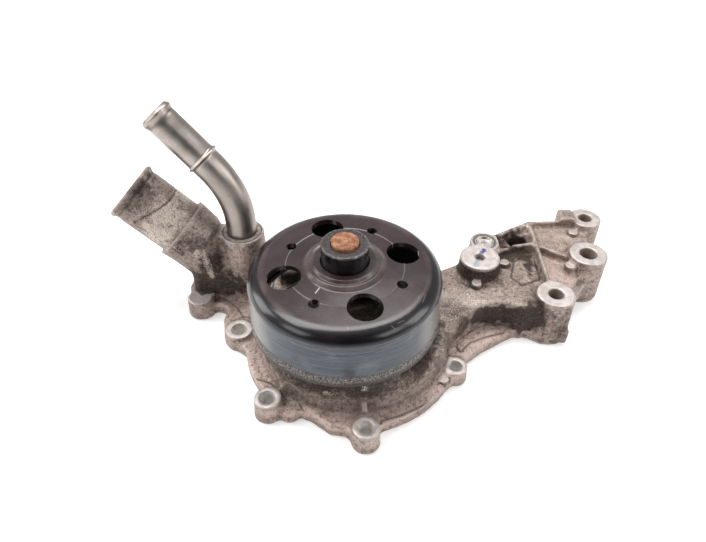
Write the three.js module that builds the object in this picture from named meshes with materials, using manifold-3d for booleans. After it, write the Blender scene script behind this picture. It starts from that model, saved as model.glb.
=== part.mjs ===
// Engine water pump with a belt pulley, in millimetres, +Z up.
// The origin is on the shaft axis in the mating plane of the housing, and the pulley is at +Z.
import * as THREE from 'three';
import { mergeVertices } from 'three/addons/utils/BufferGeometryUtils.js';
import Module from 'manifold-3d';

const wasm = await Module();
wasm.setup();

// ---------- driving dimensions ----------
const GAP = 0.3; // clearance between pieces that touch
const SHAFT_R = 8;
const SHAFT_REAR_Z = 0;
const SHAFT_FRONT_Z = 93.5;

const FLANGE_T = 9;
const DOME_Z = 29;
const WALL_T = 5;
const TOWER_R = 26;
const TOWER_Z = 65;

const BEARING_R = 19;
const BEARING_INNER_R = 13.8;
const BEARING_Z0 = 30;
const BEARING_Z1 = 64;
const BALL_R = 3.7;
const BALL_PITCH_R = 11;
const BALL_COUNT = 7;
const BALL_ROW_REAR_Z = 38.5;
const BALL_ROW_FRONT_Z = 55.5;

const SEAL_R = 17;
const SEAL_Z0 = 16;
const SEAL_Z1 = 27;

const IMPELLER_R = 33;
const IMPELLER_Z0 = 3;
const IMPELLER_PLATE_Z = 12;
const IMPELLER_Z1 = 14.5;
const VANE_COUNT = 7;

const PULLEY_R = 57;
const PULLEY_SHEET = 3;
const PULLEY_FACE_Z = 75;
const PULLEY_RIM_Z = 35.5;
const PULLEY_HOLE_PITCH_R = 36;
const PULLEY_HOLE_R = 9.9;
const PULLEY_SMALL_HOLE_R = 3.15;
const PULLEY_HOLE_TURN = THREE.MathUtils.degToRad(18.5);
const HUB_NECK_R = 13.8;
const HUB_TOP_Z = 91;

const ARM_Z = 29;
const BRACKET_Z = 35;
const CHAMBER_Z = 30;

const NECK_ROOT = new THREE.Vector3(-109.5, 55, 58.5);
const NECK_AXIS = new THREE.Vector3(-0.74, 0.11, 0.66).normalize();
const NECK_LENGTH = 40;
const NECK_R = 18.6;
const NECK_BORE_R = 15.5;

const TUBE_SOCKET = new THREE.Vector2(-68.9, 53);
const TUBE_SOCKET_Z = 58;
const TUBE_SOCKET_R = 14.4;
const TUBE_R = 9.8;
const TUBE_BORE_R = 8.3;
const TUBE_FOOT_Z = 42;
const TUBE_BEND_Z = 66.5;
const TUBE_BEND_R = 55;
const TUBE_BEND_ANGLE = THREE.MathUtils.degToRad(44.6);
const TUBE_HEADING = THREE.MathUtils.degToRad(166);
const TUBE_STRAIGHT = 43.8;
const TUBE_STOP_BEAD = 5.6; // from the end of the bend to the middle of the bead that stops the hose

// Bolt bosses: centre, radius, height of the machined face, bolt hole radius (0 is a blind spot face).
const BOSSES = [
  { x: 13.2, y: -68.4, r: 7.8, top: 14.5, hole: 4.3 },
  { x: -44.2, y: -48.8, r: 8, top: 14.5, hole: 4.4 },
  { x: -69.4, y: 7.3, r: 8.7, top: 12, hole: 4.8 },
  { x: -99.8, y: 35.5, r: 8.8, top: 14, hole: 0 },
  { x: 69, y: -20.3, r: 7.4, top: 10.8, hole: 3.95 },
  { x: 136.2, y: 20.4, r: 12.5, top: BRACKET_Z, hole: 4.9 },
  { x: 168.7, y: 61.7, r: 13, top: BRACKET_Z, hole: 5.9 },
  { x: 178, y: 103.5, r: 11.6, top: BRACKET_Z, hole: 4.8 },
];
const IDLER_BOSS = { x: 90.4, y: 49.3, r: 13.3, top: 41, hole: 3.4 };
const PLUG_BOSS = { x: 98.1, y: 73.7, r: 10.2, top: 35 };

// ---------- solids ----------
// A closed three.js geometry as a solid that can be joined and cut.
function solid(geometry) {
  const bare = geometry.index ? geometry.toNonIndexed() : geometry.clone();
  bare.deleteAttribute('normal');
  bare.deleteAttribute('uv');
  const merged = mergeVertices(bare, 1e-4);
  const vertProperties = new Float32Array(merged.attributes.position.array);
  const triVerts = new Uint32Array(merged.index.array);
  return new wasm.Manifold(new wasm.Mesh({ numProp: 3, vertProperties, triVerts }));
}

function join(...solids) {
  return solids.reduce((sum, next) => sum.add(next));
}

// A cylinder or cone along Z.
function cylinder(x, y, radius, z0, z1, sides = 24, topRadius = radius) {
  const geometry = new THREE.CylinderGeometry(topRadius, radius, z1 - z0, sides);
  geometry.rotateX(Math.PI / 2);
  geometry.translate(x, y, (z0 + z1) / 2);
  return solid(geometry);
}

// A cylinder or cone from one point to another.
function rod(from, to, radius, sides = 28, endRadius = radius) {
  const span = new THREE.Vector3().subVectors(to, from);
  const geometry = new THREE.CylinderGeometry(endRadius, radius, span.length(), sides);
  const up = new THREE.Vector3(0, 1, 0);
  geometry.applyQuaternion(new THREE.Quaternion().setFromUnitVectors(up, span.clone().normalize()));
  geometry.translate((from.x + to.x) / 2, (from.y + to.y) / 2, (from.z + to.z) / 2);
  return solid(geometry);
}

function sphere(centre, radius, sides) {
  const geometry = new THREE.SphereGeometry(radius, sides, Math.round(sides * 0.6));
  geometry.rotateX(Math.PI / 2);
  geometry.translate(centre.x, centre.y, centre.z);
  return solid(geometry);
}

function box(x0, x1, y0, y1, z0, z1) {
  const geometry = new THREE.BoxGeometry(x1 - x0, y1 - y0, z1 - z0);
  geometry.translate((x0 + x1) / 2, (y0 + y1) / 2, (z0 + z1) / 2);
  return solid(geometry);
}

// An outline raised from z0 to z1. The bevel rounds its top edge and keeps the outline's size.
function raise(shape, z0, z1, bevel = 0, curveSegments = 12) {
  const geometry = new THREE.ExtrudeGeometry(shape, {
    depth: z1 - z0 - bevel,
    bevelEnabled: bevel > 0,
    bevelThickness: bevel,
    bevelSize: bevel,
    bevelOffset: -bevel,
    bevelSegments: 2,
    curveSegments,
  });
  geometry.translate(0, 0, z0);
  const raised = solid(geometry);
  return bevel > 0 ? raised.subtract(box(-400, 400, -400, 400, z0 - 2 * bevel - 1, z0)) : raised;
}

// A profile of [radius, z] corners turned about the Z axis. It closes on itself.
function turned(profile, sides = 40) {
  const points = profile.map(([radius, z]) => new THREE.Vector2(radius, z));
  if (THREE.ShapeUtils.area(points) < 0) {
    points.reverse();
  }
  const geometry = new THREE.LatheGeometry([...points, points[0]], sides);
  geometry.rotateX(Math.PI / 2);
  return solid(geometry);
}

function circle(x, y, radius) {
  return new THREE.Shape().absarc(x, y, radius, 0, 2 * Math.PI);
}

// A slot outline: two half circles joined by straight sides.
function slot(x0, y0, x1, y1, radius) {
  const heading = Math.atan2(y1 - y0, x1 - x0);
  const shape = new THREE.Shape();
  shape.absarc(x1, y1, radius, heading - Math.PI / 2, heading + Math.PI / 2);
  shape.absarc(x0, y0, radius, heading + Math.PI / 2, heading + 1.5 * Math.PI);
  shape.closePath();
  return shape;
}

// A closed outline whose radius is a function of the angle.
function polar(radiusAt, steps = 48) {
  const points = [];
  for (let step = 0; step < steps; step += 1) {
    const angle = (2 * Math.PI * step) / steps;
    const radius = radiusAt(THREE.MathUtils.radToDeg(angle));
    points.push(new THREE.Vector2(radius * Math.cos(angle), radius * Math.sin(angle)));
  }
  return new THREE.Shape(points);
}

function polygon(corners) {
  return new THREE.Shape(corners.map(([x, y]) => new THREE.Vector2(x, y)));
}

// A straight rib of the given thickness.
function rib(x0, y0, x1, y1, thickness, z0, z1) {
  return raise(slot(x0, y0, x1, y1, thickness / 2), z0, z1, 0, 4);
}

// ---------- materials ----------
function finish(color, roughness, metalness) {
  return new THREE.MeshStandardMaterial({ color, roughness, metalness });
}

const CAST = finish(0xa39a92, 0.6, 0.8);
const PAINTED = finish(0x1c171b, 0.3, 0.5);
const STEEL = finish(0x9a9a98, 0.3, 1);
const TUBE_STEEL = finish(0x9c918a, 0.25, 1);
const RUBBER = finish(0x16161a, 0.8, 0);
const BRASS = finish(0xb08d4a, 0.35, 1);
const CARBON = finish(0x26262a, 0.5, 0.1);
const CERAMIC = finish(0xe6e2d8, 0.35, 0);
const PLASTIC = finish(0x2b2a28, 0.55, 0);
const CAGE = finish(0xc9b98f, 0.6, 0);

const pump = new THREE.Group();

function addMesh(name, made, material) {
  const { vertProperties, triVerts } = made.getMesh();
  const geometry = new THREE.BufferGeometry();
  geometry.setAttribute('position', new THREE.Float32BufferAttribute(vertProperties, 3));
  geometry.setIndex(Array.from(triVerts));
  const mesh = new THREE.Mesh(geometry, material);
  mesh.name = name;
  pump.add(mesh);
  return mesh;
}

// ---------- volute curves ----------
// Angle in degrees from the volute's tongue, which is at the front left.
function afterTongue(angle) {
  return (angle + 118 + 720) % 360;
}

// Outer radius of the spiral volute: nearly round at the front, growing towards the arm.
function voluteRadius(angle) {
  const turn = afterTongue(angle);
  const growth = Math.max(0, Math.min(1, (turn - 28) / 68));
  const shrink = Math.max(0, Math.min(1, (turn - 120) / 100));
  const hump = growth ** 1.3 - shrink ** 1.5;
  return 53 + 12 * Math.max(0, hump);
}

// The flange's edge between the bolt bosses, as [angle, radius] corners.
const FLANGE_EDGE = [
  [-180, 64], [-150, 62.4], [-128, 62], [-117, 59.5], [-111, 58.2], [-105, 59.8], [-97, 65], [-60, 66.6],
  [-33, 70], [-15, 72], [40, 66], [90, 61], [140, 61], [180, 64],
];

function flangeRadius(angle) {
  const wrapped = angle > 180 ? angle - 360 : angle;
  const next = FLANGE_EDGE.findIndex(([corner]) => corner > wrapped);
  const [fromAngle, fromRadius] = FLANGE_EDGE[(next < 0 ? FLANGE_EDGE.length : next) - 1];
  const [toAngle, toRadius] = FLANGE_EDGE[next < 0 ? 0 : next];
  const share = next < 0 ? 0 : (wrapped - fromAngle) / (toAngle - fromAngle);
  return fromRadius + (toRadius - fromRadius) * share;
}

// ---------- housing ----------
const ARM_OUTLINE = polygon([
  [30, -20], [55, -13], [68, -6], [76, 4], [83, 11.5], [91, 16], [104, 17], [116, 12.5], [127, 14],
  [133.5, 30], [136, 96], [131, 100], [119, 90], [104, 82], [88, 68], [78, 57], [64, 50], [40, 44],
]);
const FLANGE_ARM_OUTLINE = polygon([
  [40, -52], [69, -27], [79, -10], [89, -1.7], [104, 8], [112, 12.7], [120, 13.5], [131, 7.5], [140, 9],
  [150, 30], [150, 60], [137, 100], [120, 97], [104, 92], [86, 78], [74, 63], [58, 54], [40, 52],
]);
const LEFT_FLANGE_OUTLINE = polygon([
  [-40, -30], [-66, -5], [-79, 4], [-82, 20], [-80, 28], [-85, 32.5], [-91.5, 33.5], [-106, 36],
  [-111, 50], [-109, 70], [-98, 80], [-72, 80], [-52, 72], [-40, 56],
]);
const CHAMBER_OUTLINE = polygon([
  [-105, 43], [-101, 40], [-62, 40], [-56, 45], [-56, 66], [-62, 74], [-72, 77], [-98, 77], [-105, 70],
]);
const CHANNEL = { x0: 50, y0: 14, x1: 110, y1: 42, r: 10.5 };
const PORT = { x0: 110, y0: 40, x1: 114, y1: 45.5, r: 10.5 };
const INLET = { x0: -89, y0: 57, x1: -71, y1: 57, r: 11.5 };
const onNeck = (distance) => NECK_ROOT.clone().addScaledVector(NECK_AXIS, distance);
const neckTip = onNeck(NECK_LENGTH);
const THROAT_FOOT = new THREE.Vector3(-84, 57, 20);

// A drafted column, and a lobe that joins its foot to the flange.
function bossColumn({ x, y, r, top }) {
  const column = cylinder(x, y, r + 0.8, 0, top, 24, r);
  const distance = Math.hypot(x, y);
  if (distance > 90) {
    return column;
  }
  const inner = (distance - r - 2) / distance;
  return column.add(raise(slot(x * inner, y * inner, x * 0.7, y * 0.7, r + 4), 0, FLANGE_T, 0, 5));
}

// A concave fillet round the foot of an outline that stands on a face at height z.
function footFillet(shape, z, radius) {
  const geometry = new THREE.ExtrudeGeometry(shape, {
    depth: 0.1,
    bevelThickness: radius,
    bevelSize: -radius,
    bevelOffset: radius,
    bevelSegments: 2,
  });
  geometry.translate(0, 0, z + radius);
  return solid(geometry).subtract(box(-400, 400, -400, 400, z + radius + 0.05, z + 3 * radius + 1));
}

function castBody() {
  const parts = [
    raise(polar(flangeRadius, 60), 0, FLANGE_T),
    raise(FLANGE_ARM_OUTLINE, 0, FLANGE_T),
    raise(LEFT_FLANGE_OUTLINE, 0, FLANGE_T),
    raise(polar(voluteRadius), 0, DOME_Z, 9),
    footFillet(polar(voluteRadius), FLANGE_T, 4),
    cylinder(-31.5, -50.5, 6.2, 0, FLANGE_T + 0.6, 24),
    turned([[0, 20], [33, 20], [33, DOME_Z], [TOWER_R + 2.5, 34], [TOWER_R, TOWER_Z], [0, TOWER_Z]], 40),
    raise(ARM_OUTLINE, 0, ARM_Z, 3),
    raise(CHAMBER_OUTLINE, 0, CHAMBER_Z, 3),
    ...BOSSES.map(bossColumn),
  ];
  parts.push(cylinder(IDLER_BOSS.x, IDLER_BOSS.y, IDLER_BOSS.r + 1.8, 0, IDLER_BOSS.top, 28, IDLER_BOSS.r));
  parts.push(cylinder(PLUG_BOSS.x, PLUG_BOSS.y, PLUG_BOSS.r + 1, 0, PLUG_BOSS.top, 24, PLUG_BOSS.r));
  return join(...parts);
}

// The inlet neck, its collar, the chamber's shoulder and the heater tube's socket.
function inletBody() {
  const { x, y } = TUBE_SOCKET;
  return join(
    rod(onNeck(-6), neckTip, NECK_R, 32),
    rod(onNeck(-16), NECK_ROOT, 19.6, 32, 21.2),
    rod(THROAT_FOOT, onNeck(-8), 16.5, 28, 20.4),
    rod(onNeck(NECK_LENGTH - 4.5), onNeck(NECK_LENGTH - 0.4), NECK_R - 0.1, 32, NECK_R + 0.8),
    cylinder(x, y, TUBE_SOCKET_R + 0.6, 0, TUBE_SOCKET_Z, 32, TUBE_SOCKET_R),
  );
}

// Ribs, floors and small pads of the bracket at the end of the arm.
function bracket() {
  const upperFloor = polygon([[133, 99], [172, 100], [178, 98], [172, 60], [157, 61], [138, 75], [133, 77]]);
  const lowerFloor = polygon([[131, 24], [133, 80], [140, 77], [160, 64], [166, 56], [152, 36], [142, 22]]);
  const recess = polygon([
    [138, 18], [150, 26], [170, 52], [176, 62], [186, 100], [172, 104], [150, 70], [138, 50],
  ]);
  return join(
    raise(recess, 8, 18),
    raise(lowerFloor, 8, 24),
    raise(upperFloor, 8, 30),
    rib(134.5, 31, 134.5, 97, 2.8, 8, BRACKET_Z),
    rib(134.5, 97.5, 172, 99.5, 2.8, 8, BRACKET_Z),
    rib(139, 75.5, 160, 62.5, 2.6, 8, 30.3),
    rib(101, 62, 118, 70, 2.6, 12, 33.5),
    rib(118, 70, 134, 73.5, 2.6, 12, 34.5),
    rib(104, 79, 134, 97, 2.8, 12, BRACKET_Z),
    rib(120, 62, 134, 60, 2.4, 12, ARM_Z),
    box(158, 168, 97, 110, 6, 38),
    raise(polygon([[131, 8], [144, 9.5], [149, 17], [146, 28], [129, 28], [127, 14]]), 0, 16),
    cylinder(165.5, 88.5, 3.6, 12, 31.5, 20),
    cylinder(155.5, 54, 4, 8, 31, 20),
    cylinder(109.3, 54.3, 3.2, 20, 32.3, 20),
    cylinder(86.8, 32.5, 3.2, 20, 32.3, 20),
    cylinder(126.5, 87.5, 3, 12, 32, 16),
    cylinder(60.5, -30, 3.6, 0, 10.6, 20),
  );
}

// Hollows cored from the mating face, and the passages that meet them.
function hollows() {
  const volute = raise(polar((angle) => voluteRadius(angle) - WALL_T), -1, DOME_Z - WALL_T, 6);
  const sealBoss = turned([[0, SEAL_Z0], [22, SEAL_Z0], [24, DOME_Z], [0, DOME_Z]], 32);
  const { x, y } = TUBE_SOCKET;
  return join(
    volute.subtract(sealBoss),
    raise(slot(CHANNEL.x0, CHANNEL.y0, CHANNEL.x1, CHANNEL.y1, CHANNEL.r), -1, 22, 3, 8),
    raise(slot(PORT.x0, PORT.y0, PORT.x1, PORT.y1, PORT.r), -1, 23, 3, 8),
    raise(slot(INLET.x0, INLET.y0, INLET.x1, INLET.y1, INLET.r), -1, 27, 0, 8),
    rod(onNeck(-7), onNeck(NECK_LENGTH + 1), NECK_BORE_R, 24),
    rod(THROAT_FOOT, onNeck(-5), 11, 24, NECK_BORE_R - 0.3),
    cylinder(x, y, 7.6, 20, TUBE_SOCKET_Z + 1, 20),
    cylinder(x, y, TUBE_R + 2 * GAP, TUBE_FOOT_Z - GAP, TUBE_SOCKET_Z + 1, 24),
    cylinder(x, y, 12.8, TUBE_SOCKET_Z - 4, TUBE_SOCKET_Z + 1, 28),
  );
}

// Bores for the bearing, the shaft seal and the shaft, and the drain behind the seal.
function shaftBores() {
  return join(
    cylinder(0, 0, BEARING_R + GAP, BEARING_Z0 - GAP, TOWER_Z + 1, 40),
    cylinder(0, 0, SHAFT_R + 2, SEAL_Z0 - 1, TOWER_Z, 28),
    cylinder(0, 0, SEAL_R + GAP, SEAL_Z0 - 1, SEAL_Z1, 36),
    rod(new THREE.Vector3(0, 0, 28.4), new THREE.Vector3(0, -40, 28.4), 1.2, 10),
  );
}

function boltHoles() {
  const holes = BOSSES.filter(({ hole }) => hole > 0).map(({ x, y, top, hole }) => (
    cylinder(x, y, hole, -1, top + 1, 20)
  ));
  holes.push(cylinder(IDLER_BOSS.x, IDLER_BOSS.y, IDLER_BOSS.hole, 25, IDLER_BOSS.top + 1, 16));
  holes.push(cylinder(PLUG_BOSS.x, PLUG_BOSS.y, 7.4, 30.5, PLUG_BOSS.top + 1, 24));
  return join(...holes);
}

// Pockets left of the bracket wall.
function pockets() {
  const upper = polygon([[115, 82.5], [128, 90.5], [131.5, 91], [131.5, 76.5], [120, 74]]);
  const lower = polygon([[107, 64], [119, 66.5], [131.5, 69.5], [131.5, 63], [118, 65], [107, 58.5]]);
  return join(raise(upper, 14, 60), raise(lower, 16, 60));
}

// Rubber seals in grooves of the mating face: one round the volute and arm, one round the inlet.
function outletLoop(offset, z0, z1) {
  return join(
    raise(polar((angle) => voluteRadius(angle) - WALL_T + offset), z0, z1),
    raise(slot(CHANNEL.x0, CHANNEL.y0, CHANNEL.x1, CHANNEL.y1, CHANNEL.r + offset), z0, z1, 0, 8),
    raise(slot(PORT.x0, PORT.y0, PORT.x1, PORT.y1, PORT.r + offset), z0, z1, 0, 8),
  );
}

function inletLoop(offset, z0, z1) {
  return raise(slot(INLET.x0, INLET.y0, INLET.x1, INLET.y1, INLET.r + offset), z0, z1, 0, 10);
}

function band(loop, inner, outer, z0, z1) {
  return loop(outer, z0, z1).subtract(loop(inner, z0 - 1, z1 + 1));
}

const GASKET_INNER = 2.4;
const GASKET_OUTER = 4.8;
const GASKET_Z = 2.6;

function housing() {
  const raw = join(castBody(), inletBody()).subtract(pockets()).add(bracket());
  return raw
    .subtract(box(-400, 400, -400, 400, -50, 0))
    .subtract(hollows())
    .subtract(shaftBores())
    .subtract(boltHoles())
    .subtract(band(outletLoop, GASKET_INNER - GAP, GASKET_OUTER + GAP, -1, GASKET_Z + GAP))
    .subtract(band(inletLoop, GASKET_INNER - GAP, GASKET_OUTER + GAP, -1, GASKET_Z + GAP));
}

// ---------- pulley, hub and shaft ----------
function pulley() {
  const inner = PULLEY_R - PULLEY_SHEET;
  const profile = [
    [HUB_NECK_R + GAP, PULLEY_FACE_Z - 2], [HUB_NECK_R + GAP, PULLEY_FACE_Z + 4.2], [18.3, PULLEY_FACE_Z + 4],
    [19.6, PULLEY_FACE_Z + 2.4], [21.2, PULLEY_FACE_Z + 3], [24, PULLEY_FACE_Z + 1],
    [34.5, PULLEY_FACE_Z + 0.1], [49.5, PULLEY_FACE_Z - 1.1], [53.5, PULLEY_FACE_Z - 2.3],
    [56, PULLEY_FACE_Z - 4.6], [PULLEY_R, PULLEY_FACE_Z - 7.5], [PULLEY_R, PULLEY_RIM_Z + 8],
    [PULLEY_R + 0.8, PULLEY_RIM_Z + 6], [PULLEY_R + 0.8, PULLEY_RIM_Z + 1], [PULLEY_R, PULLEY_RIM_Z],
    [inner + 0.6, PULLEY_RIM_Z], [inner, PULLEY_RIM_Z + 4], [inner, PULLEY_FACE_Z - 8],
    [inner - 1.8, PULLEY_FACE_Z - 5.6], [48, PULLEY_FACE_Z - 4.2], [24, PULLEY_FACE_Z - 2.2],
  ];
  const holes = [];
  for (let index = 0; index < 4; index += 1) {
    const large = PULLEY_HOLE_TURN + (index * Math.PI) / 2;
    const small = large + Math.PI / 4;
    const [x, y] = [PULLEY_HOLE_PITCH_R * Math.cos(large), PULLEY_HOLE_PITCH_R * Math.sin(large)];
    holes.push(cylinder(x, y, PULLEY_HOLE_R, PULLEY_FACE_Z - 8, PULLEY_FACE_Z + 4, 24));
    const [u, v] = [PULLEY_HOLE_PITCH_R * Math.cos(small), PULLEY_HOLE_PITCH_R * Math.sin(small)];
    holes.push(cylinder(u, v, PULLEY_SMALL_HOLE_R, PULLEY_FACE_Z - 8, PULLEY_FACE_Z + 4, 12));
  }
  return turned(profile, 48).subtract(join(...holes));
}

// A flanged hub pressed on the shaft. The pulley sits on its flange, round its neck.
function pulleyHub() {
  const bore = SHAFT_R + GAP;
  const seat = PULLEY_FACE_Z - 2 - GAP;
  return turned([
    [bore, 66], [13, 66], [13, seat - 4.5], [23, seat - 4], [23.5, seat - 0.5],
    [HUB_NECK_R, seat - 0.5], [HUB_NECK_R, HUB_TOP_Z - 1], [HUB_NECK_R - 1, HUB_TOP_Z], [bore, HUB_TOP_Z],
  ], 28);
}

// The shaft is the bearing's inner race: each row of balls runs in a groove of it.
function pumpShaft() {
  const groove = (z) => [[SHAFT_R, z - 2.6], [SHAFT_R - 1, z - 1], [SHAFT_R - 1, z + 1], [SHAFT_R, z + 2.6]];
  const nose = 1.2;
  return turned([
    [0, SHAFT_REAR_Z], [SHAFT_R - 2.2, SHAFT_REAR_Z], [SHAFT_R - 1.6, SHAFT_REAR_Z + 0.6],
    [SHAFT_R - 1.6, 27], [SHAFT_R, 28], ...groove(BALL_ROW_REAR_Z), ...groove(BALL_ROW_FRONT_Z),
    [SHAFT_R, SHAFT_FRONT_Z - nose], [SHAFT_R - nose, SHAFT_FRONT_Z], [0, SHAFT_FRONT_Z],
  ], 24);
}

addMesh('pump_housing', housing(), CAST);
addMesh('outlet_gasket', band(outletLoop, GASKET_INNER, GASKET_OUTER, 0, GASKET_Z), RUBBER);
addMesh('inlet_gasket', band(inletLoop, GASKET_INNER, GASKET_OUTER, 0, GASKET_Z), RUBBER);
addMesh('pulley', pulley(), PAINTED);
addMesh('pulley_hub', pulleyHub(), PAINTED);
addMesh('pump_shaft', pumpShaft(), STEEL);

// ---------- bearing ----------
function bearingOuterRing() {
  const r = BEARING_INNER_R;
  const groove = (z) => [[r, z + 2.6], [r + 1.3, z + 1], [r + 1.3, z - 1], [r, z - 2.6]];
  return turned([
    [r, BEARING_Z0], [BEARING_R, BEARING_Z0], [BEARING_R, BEARING_Z1 - 0.6], [BEARING_R - 0.6, BEARING_Z1],
    [r, BEARING_Z1], ...groove(BALL_ROW_FRONT_Z), ...groove(BALL_ROW_REAR_Z),
  ], 32);
}

function ballCentre(index, z) {
  const angle = (2 * Math.PI * index) / BALL_COUNT;
  return new THREE.Vector3(BALL_PITCH_R * Math.cos(angle), BALL_PITCH_R * Math.sin(angle), z);
}

function ballCage(z) {
  const half = BALL_R + 1.7;
  let cage = turned([[9.6, z - half], [12.5, z - half], [12.5, z + half], [9.6, z + half]], 28);
  for (let index = 0; index < BALL_COUNT; index += 1) {
    const centre = ballCentre(index, z);
    const outward = new THREE.Vector3(centre.x, centre.y, 0).normalize();
    const from = centre.clone().addScaledVector(outward, -2.4);
    cage = cage.subtract(rod(from, centre.addScaledVector(outward, 3), BALL_R + 0.5, 10));
  }
  return cage;
}

function lipSeal(z0, z1) {
  const [inner, outer] = [SHAFT_R + GAP, BEARING_INNER_R - GAP];
  return turned([[inner, z0], [outer, z0], [outer, z1], [inner, z1]], 24);
}

addMesh('bearing_outer_ring', bearingOuterRing(), STEEL);
addMesh('bearing_seal_rear', lipSeal(BEARING_Z0 + 0.4, BEARING_Z0 + 2.2), RUBBER);
addMesh('bearing_seal_front', lipSeal(BEARING_Z1 - 2.2, BEARING_Z1 - 0.4), RUBBER);
for (const [row, z] of [['rear', BALL_ROW_REAR_Z], ['front', BALL_ROW_FRONT_Z]]) {
  addMesh(`ball_cage_${row}`, ballCage(z), CAGE);
  for (let index = 0; index < BALL_COUNT; index += 1) {
    addMesh(`ball_${row}_${index + 1}`, sphere(ballCentre(index, z), BALL_R, 10), STEEL);
  }
}

// ---------- shaft seal ----------
// The case, bellows, spring and carbon ring stay with the housing. The seat and its cup turn with the shaft.
function sealCase() {
  return turned([
    [15.6, SEAL_Z0], [16.4, SEAL_Z0], [SEAL_R, SEAL_Z0 + 1], [SEAL_R, SEAL_Z1 - GAP],
    [10.4, SEAL_Z1 - GAP], [10.4, SEAL_Z1 - 1.3], [15.6, SEAL_Z1 - 1.3],
  ], 24);
}

function sealBellows() {
  return turned([
    [9, 19.8], [12.2, 19.8], [12.2, 22], [11.4, 23], [12.2, 24], [12.2, 25.3], [9, 25.3],
  ], 20);
}

const COIL_STEPS = 12;

function sealSpring() {
  const turns = 2.5;
  const [z0, z1] = [20.6, 24.4];
  const points = [];
  for (let step = 0; step <= turns * COIL_STEPS; step += 1) {
    const angle = (2 * Math.PI * step) / COIL_STEPS;
    const z = z0 + ((z1 - z0) * step) / (turns * COIL_STEPS);
    points.push(new THREE.Vector3(13.6 * Math.cos(angle), 13.6 * Math.sin(angle), z));
  }
  const geometry = new THREE.ExtrudeGeometry(circle(0, 0, 0.55), {
    steps: points.length - 1,
    curveSegments: 3,
    bevelEnabled: false,
    extrudePath: new THREE.CatmullRomCurve3(points),
  });
  return solid(geometry);
}

function sealCarbonRing() {
  return turned([[9, 17.7], [11, 17.7], [12.4, 18.4], [12.4, 19.5], [9, 19.5]], 20);
}

addMesh('seal_case', sealCase(), BRASS);
addMesh('seal_bellows', sealBellows(), RUBBER);
addMesh('seal_spring', sealSpring(), STEEL);
addMesh('seal_carbon_ring', sealCarbonRing(), CARBON);
addMesh('seal_seat_ring', turned([[8.6, 15.2], [12.6, 15.2], [12.6, 17.4], [8.6, 17.4]], 20), CERAMIC);
addMesh('seal_seat_cup', turned([[6.7, 14.8], [8.3, 14.8], [8.3, 17.4], [6.7, 17.4]], 20), RUBBER);

// ---------- impeller ----------
// A plate towards the housing with backswept vanes towards the mating plane.
function impeller() {
  const bore = SHAFT_R - 1.6 + GAP;
  let made = turned([
    [bore, IMPELLER_Z0], [10.5, IMPELLER_Z0], [11.5, IMPELLER_PLATE_Z], [IMPELLER_R, IMPELLER_PLATE_Z],
    [IMPELLER_R, IMPELLER_PLATE_Z + 2], [12, IMPELLER_Z1], [bore, IMPELLER_Z1],
  ], 28);
  for (let index = 0; index < VANE_COUNT; index += 1) {
    const start = (2 * Math.PI * index) / VANE_COUNT;
    const line = [];
    for (let step = 0; step <= 4; step += 1) {
      const radius = 10 + ((IMPELLER_R - 11) * step) / 4;
      const angle = start - 0.22 * step;
      line.push(new THREE.Vector2(radius * Math.cos(angle), radius * Math.sin(angle)));
    }
    const side = (offset) => line.map((point, at) => {
      const ahead = line[Math.min(at + 1, 4)].clone().sub(line[Math.max(at - 1, 0)]).normalize();
      return new THREE.Vector2(point.x - ahead.y * offset, point.y + ahead.x * offset);
    });
    const vane = new THREE.Shape([...side(-1), ...side(1).reverse()]);
    made = made.add(raise(vane, IMPELLER_Z0, IMPELLER_PLATE_Z + 1));
  }
  return made;
}

addMesh('impeller', impeller(), PLASTIC);

// ---------- heater tube and plugs ----------
const BEND_STEPS = 6;

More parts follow.
